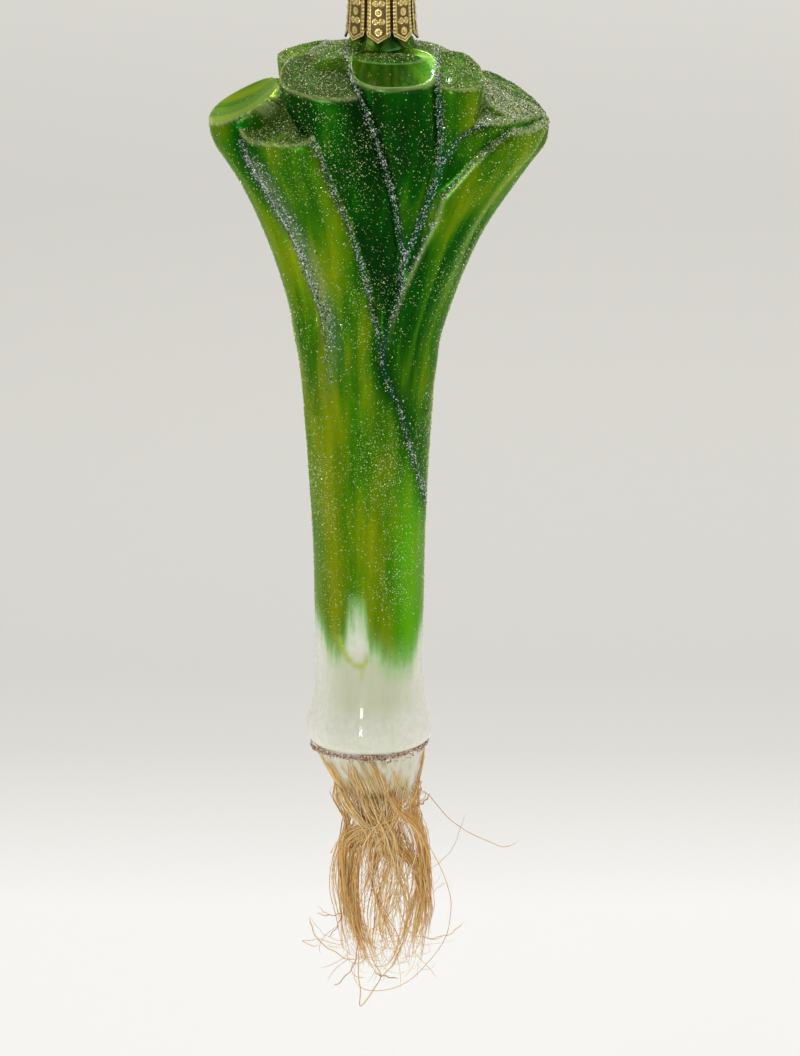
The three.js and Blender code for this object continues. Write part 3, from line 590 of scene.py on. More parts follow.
def glass():
    """The blown body: knob, bulb, stalk, head and neck outside, and an even wall inside, open at the neck."""
    rings = [np.array([[knob_centre(-12.8), 0, -12.8]])]
    rings += [ring(AROUND, knob_centre(h), r, h) for h, r in KNOB]
    rings += [stalk_ring(AROUND, h) for h in np.concatenate([np.arange(-0.4, 14, 0.4), np.arange(14, 57.5, 0.9)])]
    start, way = head_rays(AROUND, HEAD_ROWS)
    reach = glass_reach(start, way)
    rings += list(start + way * reach[..., None])
    rings += [ring(AROUND, 0, NECK_RADIUS, h) for h in (121.6, 122.6, 124, 126, NECK_TOP - 0.3)]
    rings += [ring(AROUND, 0, NECK_RADIUS - 0.1, NECK_TOP - 0.08), ring(AROUND, 0, NECK_RADIUS - 0.3, NECK_TOP)]
    outside = sum(len(r) for r in rings)
    rings += [ring(AROUND_INSIDE, 0, NECK_BORE + 0.3, NECK_TOP), ring(AROUND_INSIDE, 0, NECK_BORE, NECK_TOP - 0.3)]
    rings += [ring(AROUND_INSIDE, 0, NECK_BORE, h) for h in (126, 122, 119)]
    share = AROUND // AROUND_INSIDE
    least = reach.copy()
    for k in range(1, share + 1):
        for way_round in (-k, k):
            least = np.minimum(least, np.roll(reach, way_round, axis=1))
    padded = np.pad(least, ((4, 4), (0, 0)), mode="edge")
    least = np.min([padded[k:k + len(least)] for k in range(9)], axis=0)
    inner = start + way * (least - WALL)[..., None]
    rings += list(inner[:int(HEAD_ROWS * 0.93):4, ::share][::-1])
    rings += [stalk_ring(AROUND_INSIDE, h, WALL) for h in (52, 44, 34, 24, 14, 9)]
    rings += [ring(AROUND_INSIDE, knob_centre(h), r, h) for h, r in [(4, 9), (1, 8.6), (-1, 8), (-5.5, 6.6), (-9, 5), (-11, 3)]]
    rings.append(np.array([[knob_centre(-11.4), 0, -11.4]]))
    points, faces = join_rings(rings)
    x, y, h = points.T
    i = at_height(h)

    # Which leaf a point belongs to, how close it lies to a groove, whether it is on an end face, and a painted
    # highlight along each end face's rim
    names = list(LEAVES)
    sides, ends = zip(*[leaf_distance(leaf, x, y, h, i) for leaf in LEAVES.values()])
    each = np.array([np.maximum(s, e) for s, e in zip(sides, ends)] + [core_distance(x, y, h, i)])
    owner = np.argmin(each, axis=0)
    seen = np.where(y < 0, x, 2 * curve(CENTRE, h) - x)
    groove = np.zeros(len(x))
    for line, width, low, high in GROOVES:
        groove = np.maximum(groove, near_line(seen, h, line, width) * step(h, low, low + 3) * (1 - step(h, high - 2, high)))
    # a whitish band beside the sheath's left border: glitter haze with a painted reflection; it also thickens the
    # glitter
    glitter_and_painted_reflection = near_line(seen - 1.1, h, SHEATH_LEFT, 1.3) * step(h, 56, 84) * (1 - step(h, 99, 105))
    core = len(LEAVES)
    face, rim = np.zeros((2, len(x)))
    for k in range(core):
        face = np.maximum(face, (owner == k) * np.clip(0.5 + (ends[k] - sides[k] + 0.2) / 0.7, 0, 1))
        # rim is a painted highlight: a thin bright line where a leaf's side meets its end face
        rim = np.maximum(rim, (owner == k) * np.exp(-((ends[k] - sides[k] + 0.1) / 0.32) ** 2) * (np.abs(each[k]) < 0.8))
    roof = (owner == core) & (h > 100) & (np.hypot(x, y) > NECK_RADIUS + 0.3)
    polished = np.isin(owner, [names.index("side_left"), names.index("middle")])
    clean = polished * face
    patchy = 0.5 + 0.5 * np.sin(1.1 * x + 2 * np.sin(0.9 * y)) * np.sin(1.3 * y + 1.7 + np.sin(0.8 * x))
    bare = np.maximum(face, roof) * ~polished
    pale_end = bare * step(x, 15, 21) * (y < 4) * (h > 100)
    dust = np.maximum(bare * (0.35 + 0.65 * patchy), pale_end) * (h < 121)
    turn = np.arctan2(y / curve(HALF_DEPTH, h), (x - curve(CENTRE, h)) / curve(HALF_WIDTH, h))
    tints = np.array([0.12, -0.02, 0.05, -0.17, -0.08, -0.04, 0.0, -0.1, 0.08, -0.1, -0.06, 0.05, 0.04, -0.1, 0])
    tint = tints[owner] * step(h, 66, 88) - 0.04 * bare + 0.08 * clean
    inside_wrap = wrap_edge(x, y, h)
    tint += wrap_fade(h) * (0.05 * np.clip(-x / 6, -1, 1) - 0.3 * np.exp(-(inside_wrap / 1.7) ** 2) * (y < 0))
    # the lacquer's lower edge runs in brush strokes: high at the left, a bare patch, low at the right
    edge = np.interp(x, [-12, -10.5, -9, -7.6, -6.2, -4.2, -2.5, -1, 1, 3, 5, 6.4, 7.4], [21, 20.5, 19.5, 19, 20.5, 21.5, 20.6, 19.4, 17.4, 16.6, 17, 18.5, 21])
    patch = np.exp(-((x + 4.3) / 1.9) ** 6) * (0.3 + 0.25 * step(h, 20, 25)) * step(h, 15, 18) * (1 - step(h, 25.5, 29.5))
    # painted reflection: the green thins near the stalk's left and right edges in front view, so they read pale
    painted_side_reflection = step(np.abs(x + 2.1), 6.8, 9.2) * (1 - step(h, 30, 52))
    edge = np.where(y < 0, edge, 19 + 1.8 * np.sin(5 * turn) + 1.2 * np.sin(11 * turn + 1))
    green = np.clip(0.5 + (h - edge + 1.2) / 11, 0, 1) - patch * (y < 0) - 0.3 * painted_side_reflection
    # greenish grey over the upper bulb: a thin green veil, with painted shade that keeps the middle darker than the
    # left and right sides
    veil_and_painted_shade = (0.3 + 0.6 * step(h, 4, 9)) * (1 - step(h, 13, 22)) * (1 - 0.75 * step(np.abs(x + 2.1), 3.5, 9))
    smear = np.sin(1.9 * x + 2.2 * np.sin(0.9 * h)) * np.sin(1.4 * x - 1.1 * h + 1)
    stain = step(-h, 1.4, 2.6) * (0.2 + 0.6 * step(smear, -0.1, 0.7))
    hook = [(19.5, -7.1), (17.8, -6.8), (16, -5.8), (15.1, -4.7), (14.8, -3.4), (15.6, -2.7), (16.4, -2.6)]
    lime = np.zeros(len(x))
    for (h0, x0), (h1, x1) in zip(hook[:-1], hook[1:]):
        t = np.clip(((x - x0) * (x1 - x0) + (h - h0) * (h1 - h0)) / ((x1 - x0) ** 2 + (h1 - h0) ** 2), 0, 1)
        lime = np.maximum(lime, np.exp(-(np.hypot(x - x0 - t * (x1 - x0), h - h0 - t * (h1 - h0)) / 0.45) ** 2))
    lime = np.maximum(lime, 0.5 * np.exp(-((x + 3.4) / 0.4) ** 2) * step(h, 11.5, 13.5) * (1 - step(h, 14.2, 15)))
    lime = lime * (y < 0) * 0.85
    bright = np.exp(-((x - 4.6) / 2.4) ** 2) * (1 - step(h, 34, 56)) * 0.75 * (y < 0)
    fan = np.stack([np.cos(turn), np.sin(turn), h / 100], -1)
    # painted highlights: thin pale lines along the ridge and along the outer right border
    edges = near_line(seen - 0.5, h, RIDGE, 0.3) * step(h, 70, 84) * (1 - step(h, 104, 108))
    edges = np.maximum(edges, 0.7 * near_line(seen, h, OUTER_RIGHT, 0.3) * step(h, 72, 84) * (1 - step(h, 104, 108)))
    # painted highlight: pale colour and no metal on the end-face rims and ridge lines, also used for the pale glitter
    # of the right end face
    painted_highlight_and_pale_end = np.maximum(0.3 * edges, rim * (h > 96) * np.where(x < -15, 0.75, 0.55))
    painted_highlight_and_pale_end = np.maximum(painted_highlight_and_pale_end, 0.75 * pale_end)
    gloss = (0.72 - 0.66 * np.clip(green, 0, 1)) * (1 - clean) * (1 - dust) + clean * np.where(x < -15, 0.1, 0.5)
    marks = {"fan": fan, "groove": groove, "glitter_and_painted_reflection": glitter_and_painted_reflection, "tint": tint, "green": green, "lime": lime, "bright": bright,
             "dust": dust, "painted_highlight_and_pale_end": painted_highlight_and_pale_end, "gloss": gloss, "veil_and_painted_shade": veil_and_painted_shade, "stain": stain}
    piece_from("glass_leek", points, faces, lacquered_glass(), ["glass_body"], marks=marks)

    # Where glitter lies: thick in the grooves and on the roof, thin on the leaves, none on the two clean end faces
    outer_skin = np.arange(len(x)) < outside
    clump = 0.55 + 0.25 * np.sin(2.3 * h + 3 * np.sin(0.6 * h)) + 0.2 * np.sin(5.1 * h + 2 * x)
    dense = (groove ** 2 * clump * (0.4 + 0.6 * step(h, 70, 86)) + 0.3 * glitter_and_painted_reflection * (0.3 + 0.7 * patchy) + 0.15 * pale_end) * (h < 121) * outer_skin
    roof_dust = (dust + 1.6 * pale_end) * (h < 121) * outer_skin
    drift = 0.5 + 0.5 * np.sin(2 * turn + h / 7) * np.sin(3.1 * turn - h / 11 + 1)
    flecks = step(h, 15, 34) * (h < 121) * (0.5 + 0.8 * np.exp(-((h - 38) / 16) ** 2)) * (0.22 + 1.3 * drift ** 2) * outer_skin
    flecks = flecks * (1 - 0.9 * clean)
    rust = np.exp(-((h + 1.2 - 0.25 * np.cos(turn)) / (0.32 + 0.3 * step(-x, 7, 11))) ** 2) * outer_skin
    return points, faces, dense, roof_dust, flecks, rust


def scatter(points, faces, density, count, low, high):
    """Grains as small four-sided crystals, turned at random, laid on a skin as thickly as density says."""
    a, b, c = points[faces[:, 0]], points[faces[:, 1]], points[faces[:, 2]]
    normal = np.cross(b - a, c - a)
    area = np.linalg.norm(normal, axis=1) + 1e-12
    weight = area * density[faces].mean(axis=1)
    pick = rng.choice(len(faces), count, p=weight / weight.sum())
    u, v = rng.random((2, count, 1))
    u, v = np.where(u + v > 1, 1 - u, u), np.where(u + v > 1, 1 - v, v)
    place = a[pick] + (b[pick] - a[pick]) * u + (c[pick] - a[pick]) * v
    size = low + (high - low) * rng.random((count, 1)) ** 2
    place = place + normal[pick] / area[pick][:, None] * size * 0.25
    return grains(place, size)


def grains(place, size):
    """Four-sided crystals at the given places, each turned by a random rotation."""
    count = len(place)
    q = rng.normal(size=(count, 4))
    w, x, y, z = (q / np.linalg.norm(q, axis=1, keepdims=True)).T
    turn = np.array([[1 - 2 * (y * y + z * z), 2 * (x * y - z * w), 2 * (x * z + y * w)],
                     [2 * (x * y + z * w), 1 - 2 * (x * x + z * z), 2 * (y * z - x * w)],
                     [2 * (x * z - y * w), 2 * (y * z + x * w), 1 - 2 * (x * x + y * y)]])
    shape = np.array([[1, 1, 1], [1, -1, -1], [-1, 1, -1], [-1, -1, 1]]) / math.sqrt(3)
    points = place[:, None, :] + np.einsum("ijn,kj->nki", turn, shape) * size[:, :, None]
    faces = np.array([[0, 1, 2], [0, 3, 1], [0, 2, 3], [1, 3, 2]]) + 4 * np.arange(count)[:, None, None]
    tone = np.repeat(rng.random(count), 4)
    return points.reshape(-1, 3), faces.reshape(-1, 3), {"tone": tone}


def petal_edge(u):
    """The cap's lower edge across a petal, from its point at u 0 to the notch at u 1."""
    a = np.abs(u)
    return PETAL_TIP + np.where(a < 0.84, 1.3 * a, 1.09 + (a - 0.84) * 8)


def cap():
    """Pressed metal cap: a tube with pointed petals, its skin raised into borders of beads, chevrons, scrolls and dots."""
    per_petal = 58
    u = np.tile(np.linspace(-1, 1, per_petal, endpoint=False), PETALS)
    turn = np.radians(PETAL_TURN - 90) + (np.repeat(np.arange(PETALS), per_petal) + u / 2) * 2 * np.pi / PETALS
    edge = petal_edge(u)
    across = u * 2.25

    def bump_at(dx, dh, size, height):
        return height * np.exp(-(dx ** 2 + dh ** 2) / size ** 2)

    def relief(h):
        v = h - edge
        rise = 0.11 * np.exp(-((v - 0.3) / 0.13) ** 2) + 0.09 * np.exp(-((v - 0.78) / 0.12) ** 2) * (np.abs(u) < 0.8)
        beads = (h % 0.62) - 0.31
        rise += bump_at(np.abs(across) - 1.72, beads, 0.21, 0.17) * (v > 0.5)
        rise += 0.05 * np.exp(-((np.abs(across) - 1.38) / 0.07) ** 2) * (v > 1.0)
        rise -= 0.22 * np.exp(-((np.abs(across) - 2.25) / 0.16) ** 2) * (v > 0.2)
        for centre in (124.9, 127.9, 130.4):
            for side in (-0.55, 0.55):
                d = np.hypot(across - side, h - centre)
                rise += 0.13 * np.exp(-((d - 0.42) / 0.12) ** 2) + bump_at(across - side, h - centre, 0.15, 0.12)
        for centre in (123.2, 126.4, 129.2):
            rise += bump_at(across, h - centre, 0.3, 0.18)
            rise += 0.08 * np.exp(-((np.hypot(across, h - centre) - 0.55) / 0.09) ** 2)
        return rise * (1 - step(h, 131.3, 131.9)) + 0.12 * np.exp(-((h - 131.6) / 0.16) ** 2)

    def at(radius, h):
        h = h + 0 * u
        return np.stack([radius * np.cos(turn), radius * np.sin(turn), h], -1)

    def slot(h):
        c, s = np.cos(turn), np.sin(turn)
        return np.stack([1.85 * np.sign(c) * np.abs(c) ** 0.6, 0.85 * np.sign(s) * np.abs(s) ** 0.6, h + 0 * u], -1)

    inside = CAP_RADIUS - CAP_SKIN
    rings, deep = [slot(CAP_TOP), slot(CAP_TOP - CAP_SKIN), at(4.2, CAP_TOP - 0.95), at(inside, 131.9), at(inside, 127),
                   at(inside + 0.1, 124.6), at(5.85 - 0.25 * np.abs(u) - 0.05, edge + 0.08)], [np.ones(len(u))] * 7
    body = np.concatenate([np.linspace(0, 0.62, 66, endpoint=False), np.linspace(0.62, 1, 36)])
    for t in body:
        h = edge + (132 - edge) * t
        flare = np.interp(h, [121.2, 122.6, 124.6, 127, 132], [0.62, 0.34, 0.15, 0, 0]) - 0.2 * np.abs(u) * np.clip((124 - h) / 3, 0, 1)
        rise = relief(h)
        lip = 1 - 0.12 * np.exp(-((h - edge) / 0.08) ** 2)
        rings.append(at((CAP_RADIUS + flare + rise) * lip ** 0.15, h))
        deep.append(np.clip(0.75 - rise / 0.16, 0, 1))
    for r, h in [(5.35, 132.45), (5.0, 132.9), (4.4, 133.4), (3.4, 133.8), (2.6, 133.95)]:
        rings.append(at(r + 0.04 * np.cos(24 * turn) * (r > 3), h))
        deep.append(np.clip(0.35 - 0.4 * np.cos(24 * turn), 0, 1))
    points, faces = join_rings(rings[::-1], loop=True)
    return piece_from("pressed_cap", points, faces, pressed_gold(), ["crown_cap"],
                      marks={"recess": np.concatenate(deep[::-1])})


def through(points, steps):
    """A smooth path through points: each piece is a cubic whose end slopes are half the step between its neighbours."""
    p = np.array(points, float)
    p = np.concatenate([2 * p[:1] - p[1:2], p, 2 * p[-1:] - p[-2:-1]])
    t = np.linspace(0, len(points) - 1, steps)
    i = np.clip(t.astype(int), 0, len(points) - 2)
    t = (t - i)[:, None]
    a, b, c, d = p[i], p[i + 1], p[i + 2], p[i + 3]
    return 0.5 * (2 * b + (c - a) * t + (2 * a - 5 * b + 4 * c - d) * t ** 2 + (3 * b - a - 3 * c + d) * t ** 3)


def wire():
    """One length of round wire: a loop above, two legs through the slot that spring against the neck's bore."""
    r = LOOP_RADIUS + WIRE_RADIUS
    half = [(2.95, 118.5), (3, 122), (3, 126), (2.3, 129), (1.25, 131.6), (0.85, 133.3), (0.95, 134.4), (2.1, 135.3)]
    around = np.radians(np.arange(-38, 219, 16))
    loop = [(r * math.cos(a), LOOP_TOP - LOOP_RADIUS + r * math.sin(a)) for a in around]
    path = through(half + loop + [(-x, h) for x, h in half[::-1]], 260)
    way = np.gradient(path, axis=0)
    way /= np.linalg.norm(way, axis=1, keepdims=True)
    turn = np.arange(16) / 16 * 2 * np.pi

    def slice_at(k, size, ahead=0.0):
        (x, h), (tx, th) = path[k] + way[k] * ahead, way[k]
        return np.stack([x - th * size * np.cos(turn), size * np.sin(turn), h + tx * size * np.cos(turn)], -1)

    rings = [np.array([[path[0, 0], 0, path[0, 1]]]), slice_at(0, WIRE_RADIUS - 0.08)]
    rings += [slice_at(k, WIRE_RADIUS) for k in range(1, len(path) - 1)]
    rings += [slice_at(-1, WIRE_RADIUS - 0.08), np.array([[path[-1, 0], 0, path[-1, 1]]])]
    points, faces = join_rings(rings)
    return piece_from("loop_wire", points, faces[:, ::-1], drawn_wire(), ["hanger_wire"])


def band():
    """A lumpy bead of glue round the foot of the bulb, rolled in plum glitter: an oval slice carried round a circle, its
    size and height waved by a sum of sines."""
    columns = 420
    turn = np.arange(columns) / columns * 2 * np.pi
    lump = sum(a * np.sin(k * turn + p) for k, a, p in [(5, 0.1, 0.4), (13, 0.09, 2.0), (29, 0.07, 1.1), (53, 0.06, 3.0), (97, 0.05, 0.2)])
    drop = 0.1 * np.sin(3 * turn + 0.6) + 0.08 * np.sin(8 * turn + 2)
    swell = np.exp(-((turn - 1.62) / 0.12) ** 2) + np.exp(-((turn - 0.12) / 0.1) ** 2)
    rings = []
    for k in np.arange(20) / 20 * 2 * np.pi:
        out = 9.98 + (0.14 + 0.3 * lump) * math.cos(k)
        rise = (0.26 + 0.6 * lump + 0.25 * swell) * math.sin(k)
        rings.append(np.stack([BULB_AXIS + out * np.cos(turn), -out * np.sin(turn),
                               -1.2 + rise + drop + 0.3 * np.cos(turn)], -1))
    points, faces = join_rings(rings, loop=True)
    piece_from("glitter_line", points, faces[:, ::-1], plum_glue(), ["glitter_band"])
    outward = np.hypot(points[:, 0] - BULB_AXIS, points[:, 1]) > 9.95
    points, faces, marks = scatter(points, faces[:, ::-1], outward + 0.02, 3000, 0.1, 0.24)
    return piece_from("band_grains", points, faces, glitter_grains("plum glitter", plum, 0.3), smooth=False, marks=marks)


def strand_mesh(paths, radius, tones):
    """Three-sided strands along paths, thinning to a point at both ends; paths is an array of strand, step, place."""
    count, steps, _ = paths.shape
    way = np.gradient(paths, axis=1)
    way /= np.linalg.norm(way, axis=2, keepdims=True) + 1e-9
    side = np.cross(way, rng.normal(size=(count, 1, 3)) * [0.3, 0.3, 0.1] + [0, 0.1, 0.9])
    side /= np.linalg.norm(side, axis=2, keepdims=True) + 1e-9
    other = np.cross(way, side)
    t = np.linspace(0, 1, steps)
    size = radius[:, None] * np.clip(np.minimum(t * 8 + 0.25, (1 - t) * 5 + 0.25), 0.2, 1)
    corners = []
    for a in (0, 2 * np.pi / 3, 4 * np.pi / 3):
        corners.append(paths + (side * math.cos(a) + other * math.sin(a)) * size[..., None])
    points = np.stack(corners, 2).reshape(-1, 3)
    k = np.arange(count * steps).reshape(count, steps)
    a = 3 * k[:, :-1, None] + np.arange(3)
    b = 3 * k[:, :-1, None] + (np.arange(3) + 1) % 3
    walls = np.concatenate([np.stack([a, b, b + 3], -1).reshape(-1, 3), np.stack([a, b + 3, a + 3], -1).reshape(-1, 3)])
    first, last = 3 * k[:, 0], 3 * k[:, -1]
    caps = np.concatenate([np.stack([first, first + 2, first + 1], -1), np.stack([last, last + 1, last + 2], -1)])
    return points, np.concatenate([walls, caps]), {"tone": np.repeat(tones, 3 * steps)}


def onto_knob(paths, lift):
    """Pushes fibres out of the knob: high on it they lie on its skin at their own x, lower down they only stay clear."""
    x, y, h = paths[..., 0], paths[..., 1], paths[..., 2]
    radius = np.interp(h, [row[0] for row in KNOB], [row[1] for row in KNOB]) * (h > -12.8) + lift
    dx = x - knob_centre(h)
    held = np.clip(dx, -radius * 0.999, radius * 0.999)
    lying_y = np.where(y < 0, -1, 1) * np.sqrt(radius ** 2 - held ** 2)
    far = np.maximum(np.hypot(dx, y), 1e-6)
    push = np.maximum(radius / far, 1) * (h > -12.9) + (h <= -12.9)
    share = step(h, -11, -8)
    x = (knob_centre(h) + dx * push) * (1 - share) + (knob_centre(h) + held) * share
    y = y * push * (1 - share) + lying_y * share
    return np.stack([x, y, h], -1)


def fibres(count, way, spread, lean=(1, 0.7), steps=30, wave=0.22, short=0.2):
    """A lock of fibres: each follows the lock's path from a start near its top to an end of its own, set off sideways
    by a share of the lock's spread at the top, the middle and the foot, with two slow waves of its own."""
    base = through(way, 160)
    t = np.linspace(0, 1, steps)[None, :]
    begin, end = 0.3 * rng.random((count, 1)) ** 1.6, 1 - short * rng.random((count, 1))
    along = (begin + (end - begin) * t) * 159
    k = np.clip(along.astype(int), 0, 158)
    f = (along - k)[..., None]
    paths = base[k] * (1 - f) + base[k + 1] * f
    angle, out = rng.random((2, count, 1)) * [[[2 * np.pi]], [[1]]]
    reach = np.sqrt(out) * np.interp(along / 159, [0, 0.5, 1], spread)
    turn = angle + rng.normal(0, 0.6, (count, 1)) * t
    paths[..., 1] *= 1 - 0.6 * step(-paths[..., 2], 15, 24)
    paths[..., 0] += reach * np.cos(turn) * lean[0]
    paths[..., 1] += reach * np.sin(turn) * (lean[1] + 0.7 * t)
    paths[..., 2] += rng.normal(0, 0.3 * (spread[0] + spread[1]), (count, 1))
    for turns, size in [(rng.uniform(0.8, 2.2, (count, 1, 3)), 1.5 * wave), (rng.uniform(3, 6, (count, 1, 3)), 0.2 * wave)]:
        phase = rng.random((count, 1, 3)) * 2 * np.pi
        paths += size * (0.3 + 0.9 * t[..., None]) * np.sin(turns * 2 * np.pi * t[..., None] + phase) * [1, 1, 0.5]
    return onto_knob(paths, 0.12 + 0.3 * rng.random((count, 1)))


def curls(count, low, high, length, bend, steps=30):
    """Loose curls: each heads off at an angle that turns evenly along it, so that it bends in an arc."""
    start = rng.uniform(low, high, (count, 1, 3))
    t = np.linspace(0, 1, steps)[None, :]
    heading = rng.uniform(-2.6, -0.5, (count, 1)) + rng.normal(0, bend, (count, 1)) * t + rng.normal(0, 0.8, (count, 1)) * t ** 2
    stride = rng.uniform(*length, (count, 1)) / steps
    across = rng.normal(0, 0.35, (count, 1)) + rng.normal(0, 0.9, (count, 1)) * t
    move = np.stack([np.cos(heading) * np.cos(across), np.sin(across), np.sin(heading) * np.cos(across)], -1)
    return start + np.cumsum(move * stride[..., None], axis=1)


# Locks of the tassel's front as (fibres, spread at top, middle and foot in mm, path as (x, y, h))
LOCKS = [
    (26, (0.9, 0.8, 1.2), [(-11.6, -2, -1.9), (-10.4, -4, -3.9), (-9, -5, -6.5), (-7.6, -5, -8.7), (-5.7, -6, -11.4), (-3.5, -6.5, -13.7),
                           (-0.5, -5, -16.5), (1.7, -3.5, -19.5), (2.6, -3, -23), (2.4, -2, -28)]),
    (24, (0.8, 0.8, 1.0), [(-9.6, -7, -2.2), (-8.6, -7, -4.5), (-7.2, -7, -7.5), (-5.2, -7, -10.6), (-3.2, -6, -13.6), (-2.4, -4.5, -16.5),
                           (-4.2, -3, -19.5), (-5.2, -3, -24), (-5.3, -3, -29), (-4.6, -3, -34), (-3.4, -3, -39.5)]),
    (13, (0.9, 0.9, 0.8), [(-5.6, -9, -2.6), (-4.8, -8.6, -6), (-4, -8, -9), (-3, -6.5, -12.5), (-2, -5, -15.5)]),
    (26, (0.9, 0.9, 1.0), [(-2.4, -9.6, -1.4), (-1, -9.2, -4.2), (0.4, -8.6, -7.8), (2.2, -8, -10.6), (4.2, -6.5, -12.8), (6, -5, -15.6),
                           (7, -3.5, -19.5), (7.5, -2, -23.5), (8, -2, -28), (8, -2, -33)]),
    (18, (0.9, 0.9, 1.0), [(-2.6, -9.6, -1.5), (-1.2, -9.2, -5), (-0.2, -8.6, -8.5), (0.2, -7, -12), (0.6, -5.5, -15.5), (1.4, -4, -19),
                           (0.9, -3, -23), (-0.4, -3, -27.5), (-1.2, -3, -32), (-1.9, -3, -37)]),
    (7, (0.7, 0.6, 0.8), [(1.2, -9, -3), (2.6, -8.5, -6.2), (4, -7.6, -8.6), (4.8, -6, -10.8), (4.2, -5, -13.5), (3, -4, -17),
                          (4.4, -3, -21.7), (6.1, -2.5, -25), (7.1, -2, -29.9), (6.6, -2, -34.5), (5.9, -2, -39.5)]),
    (7, (0.3, 1.8, 1.5), [(7, -1, -2.4), (6.7, -1, -5.5), (6.2, -3, -8.5), (4.9, -5.5, -10.9), (2.8, -7, -12.3), (-0.5, -7.4, -13.6),
                            (-3.6, -7, -15), (-5.9, -5.5, -17), (-6.8, -4, -20), (-6.8, -3, -24), (-6.3, -3, -28.7), (-5.2, -3, -32),
                            (-4.4, -3, -36)]),
    (34, (1.4, 0.9, 1.3), [(2, -7, -11.5), (0.8, -6, -14.5), (1.6, -5, -17.5), (2.8, -3.5, -19.8), (4.6, -3, -22), (6.1, -2, -24.6),
                           (7, -2, -27.5), (7.1, -2, -30.4), (6.7, -2, -33.3), (6.1, -2, -36), (5.7, -2, -41)]),
    (42, (1.5, 0.95, 0.9), [(-4.5, -7, -9.5), (-2.6, -6, -13.5), (-3, -4.5, -15.5), (-5.4, -3, -17.6), (-6.6, -3, -20.4), (-6.9, -3, -23.5),
                            (-6.5, -3, -26.5), (-6.1, -3, -29.5), (-5.3, -3, -32.4), (-4.6, -3, -35.4), (-3.7, -3, -38.2), (-3, -3, -41)]),
    (22, (1.2, 0.8, 1.0), [(-3.2, -6, -13), (-3, -4, -16.2), (-4.1, -2, -19), (-4.8, -2, -23), (-5, -2, -27.5), (-4.8, -2, -32),
                           (-3.7, -2, -36), (-2.2, -2, -39.6), (-0.6, -2, -43.2)]),
    (50, (2.2, 2.4, 1.8), [(-4.4, -8.5, -4.5), (-3.2, -7.8, -8), (-1.8, -6.8, -11.5), (-0.2, -5.2, -15), (1, -3.6, -20), (2, -3, -24)]),
    (36, (1.8, 2.4, 2), [(2, -8.4, -5.5), (1.8, -7.4, -9), (0.4, -6.2, -12.8), (-1.5, -4.6, -16.5), (-2.4, -3.4, -22), (-2.4, -3, -26)]),
    (12, (2.6, 4.4, 3.8), [(-1, -6, -12.5), (-0.6, -4, -17), (0.2, -3, -22), (0.6, -2.5, -28), (0.2, -2, -34), (-0.4, -2, -41)]),
    (10, (2.2, 3.8, 4.2), [(1, -6, -13), (2.4, -4, -18), (1.2, -3, -24), (-1, -2.5, -30), (-1.4, -2, -36), (0.4, -2, -42)]),
    (9, (0.2, 0.5, 0.8), [(6.9, -2, -3), (6.6, -2, -8), (6.2, -2, -12), (6.1, -1, -15), (6.9, -1, -18), (7.4, -1, -21.5), (7.7, -1, -25),
                          (8.2, -1, -28.5), (8.3, -1, -31.5), (8, -1, -34.5), (8.3, -1, -38)]),
    (7, (0.3, 0.4, 0.7), [(-8.1, -3, -8.7), (-7.9, -3, -10.7), (-6.8, -3, -12.7), (-6.4, -3, -15.9), (-7.7, -1, -19.5), (-8.6, -1, -24.1),
                          (-8.5, -1, -27.6), (-7.7, -1, -31.4), (-7.2, -1, -34.9), (-6.8, -1, -38.7), (-6.3, -1, -42)]),
    (8, (1.0, 0.9, 0.9), [(3.2, -5, -14), (1.7, -3, -18.8), (-0.5, -3, -22.3), (-2.2, -3, -25.7), (-3, -3, -29.5), (-3.4, -3, -35)]),
    (10, (1.0, 0.8, 0.9), [(0, -5, -15), (1.1, -3, -19.9), (2, -3, -24), (1.7, -3, -27.5), (0.6, -3, -31.3), (-0.4, -3, -36)]),
    (10, (1.0, 0.8, 0.9), [(2, -5, -15), (3.3, -2, -20.3), (3.1, -2, -24.4), (3.9, -2, -27.8), (4.4, -2, -31.6), (3.9, -2, -35.4),
                           (2.2, -2, -40.1), (0.6, -2, -43)]),
    (7, (1.0, 0.8, 0.9), [(-2, -5, -15), (-1, -3, -20), (-2.2, -3, -25), (-1.2, -3, -30), (1.2, -3, -35), (2.6, -3, -39)]),
    (8, (1.0, 0.8, 0.9), [(4, -4, -15), (5.2, -3, -20), (4.4, -3, -25), (2.4, -3, -30), (0.2, -3, -35), (-1.6, -3, -39)]),
]
AT_THE_BACK = [0, 1, 3, 7, 8, 10, 12]
AT_THE_SIDES = [
    (26, (2.6, 2.0, 1.8), [(7.4, 0, -7), (6.9, 0, -9.5), (5.2, 0, -12.4), (5.4, 0, -15.5), (6.4, 0, -20), (6.8, 0, -26), (6.4, 0, -33), (5.6, 0, -38)]),
    (30, (3.6, 2.6, 1.8), [(-10.8, 0, -3.4), (-9.8, 0, -6.5), (-8, 0, -10), (-6.4, 0, -13), (-6, 0, -16), (-6.6, 0, -20), (-6.8, 0, -26),
                           (-6.2, 0, -33), (-5, 0, -39)]),
]

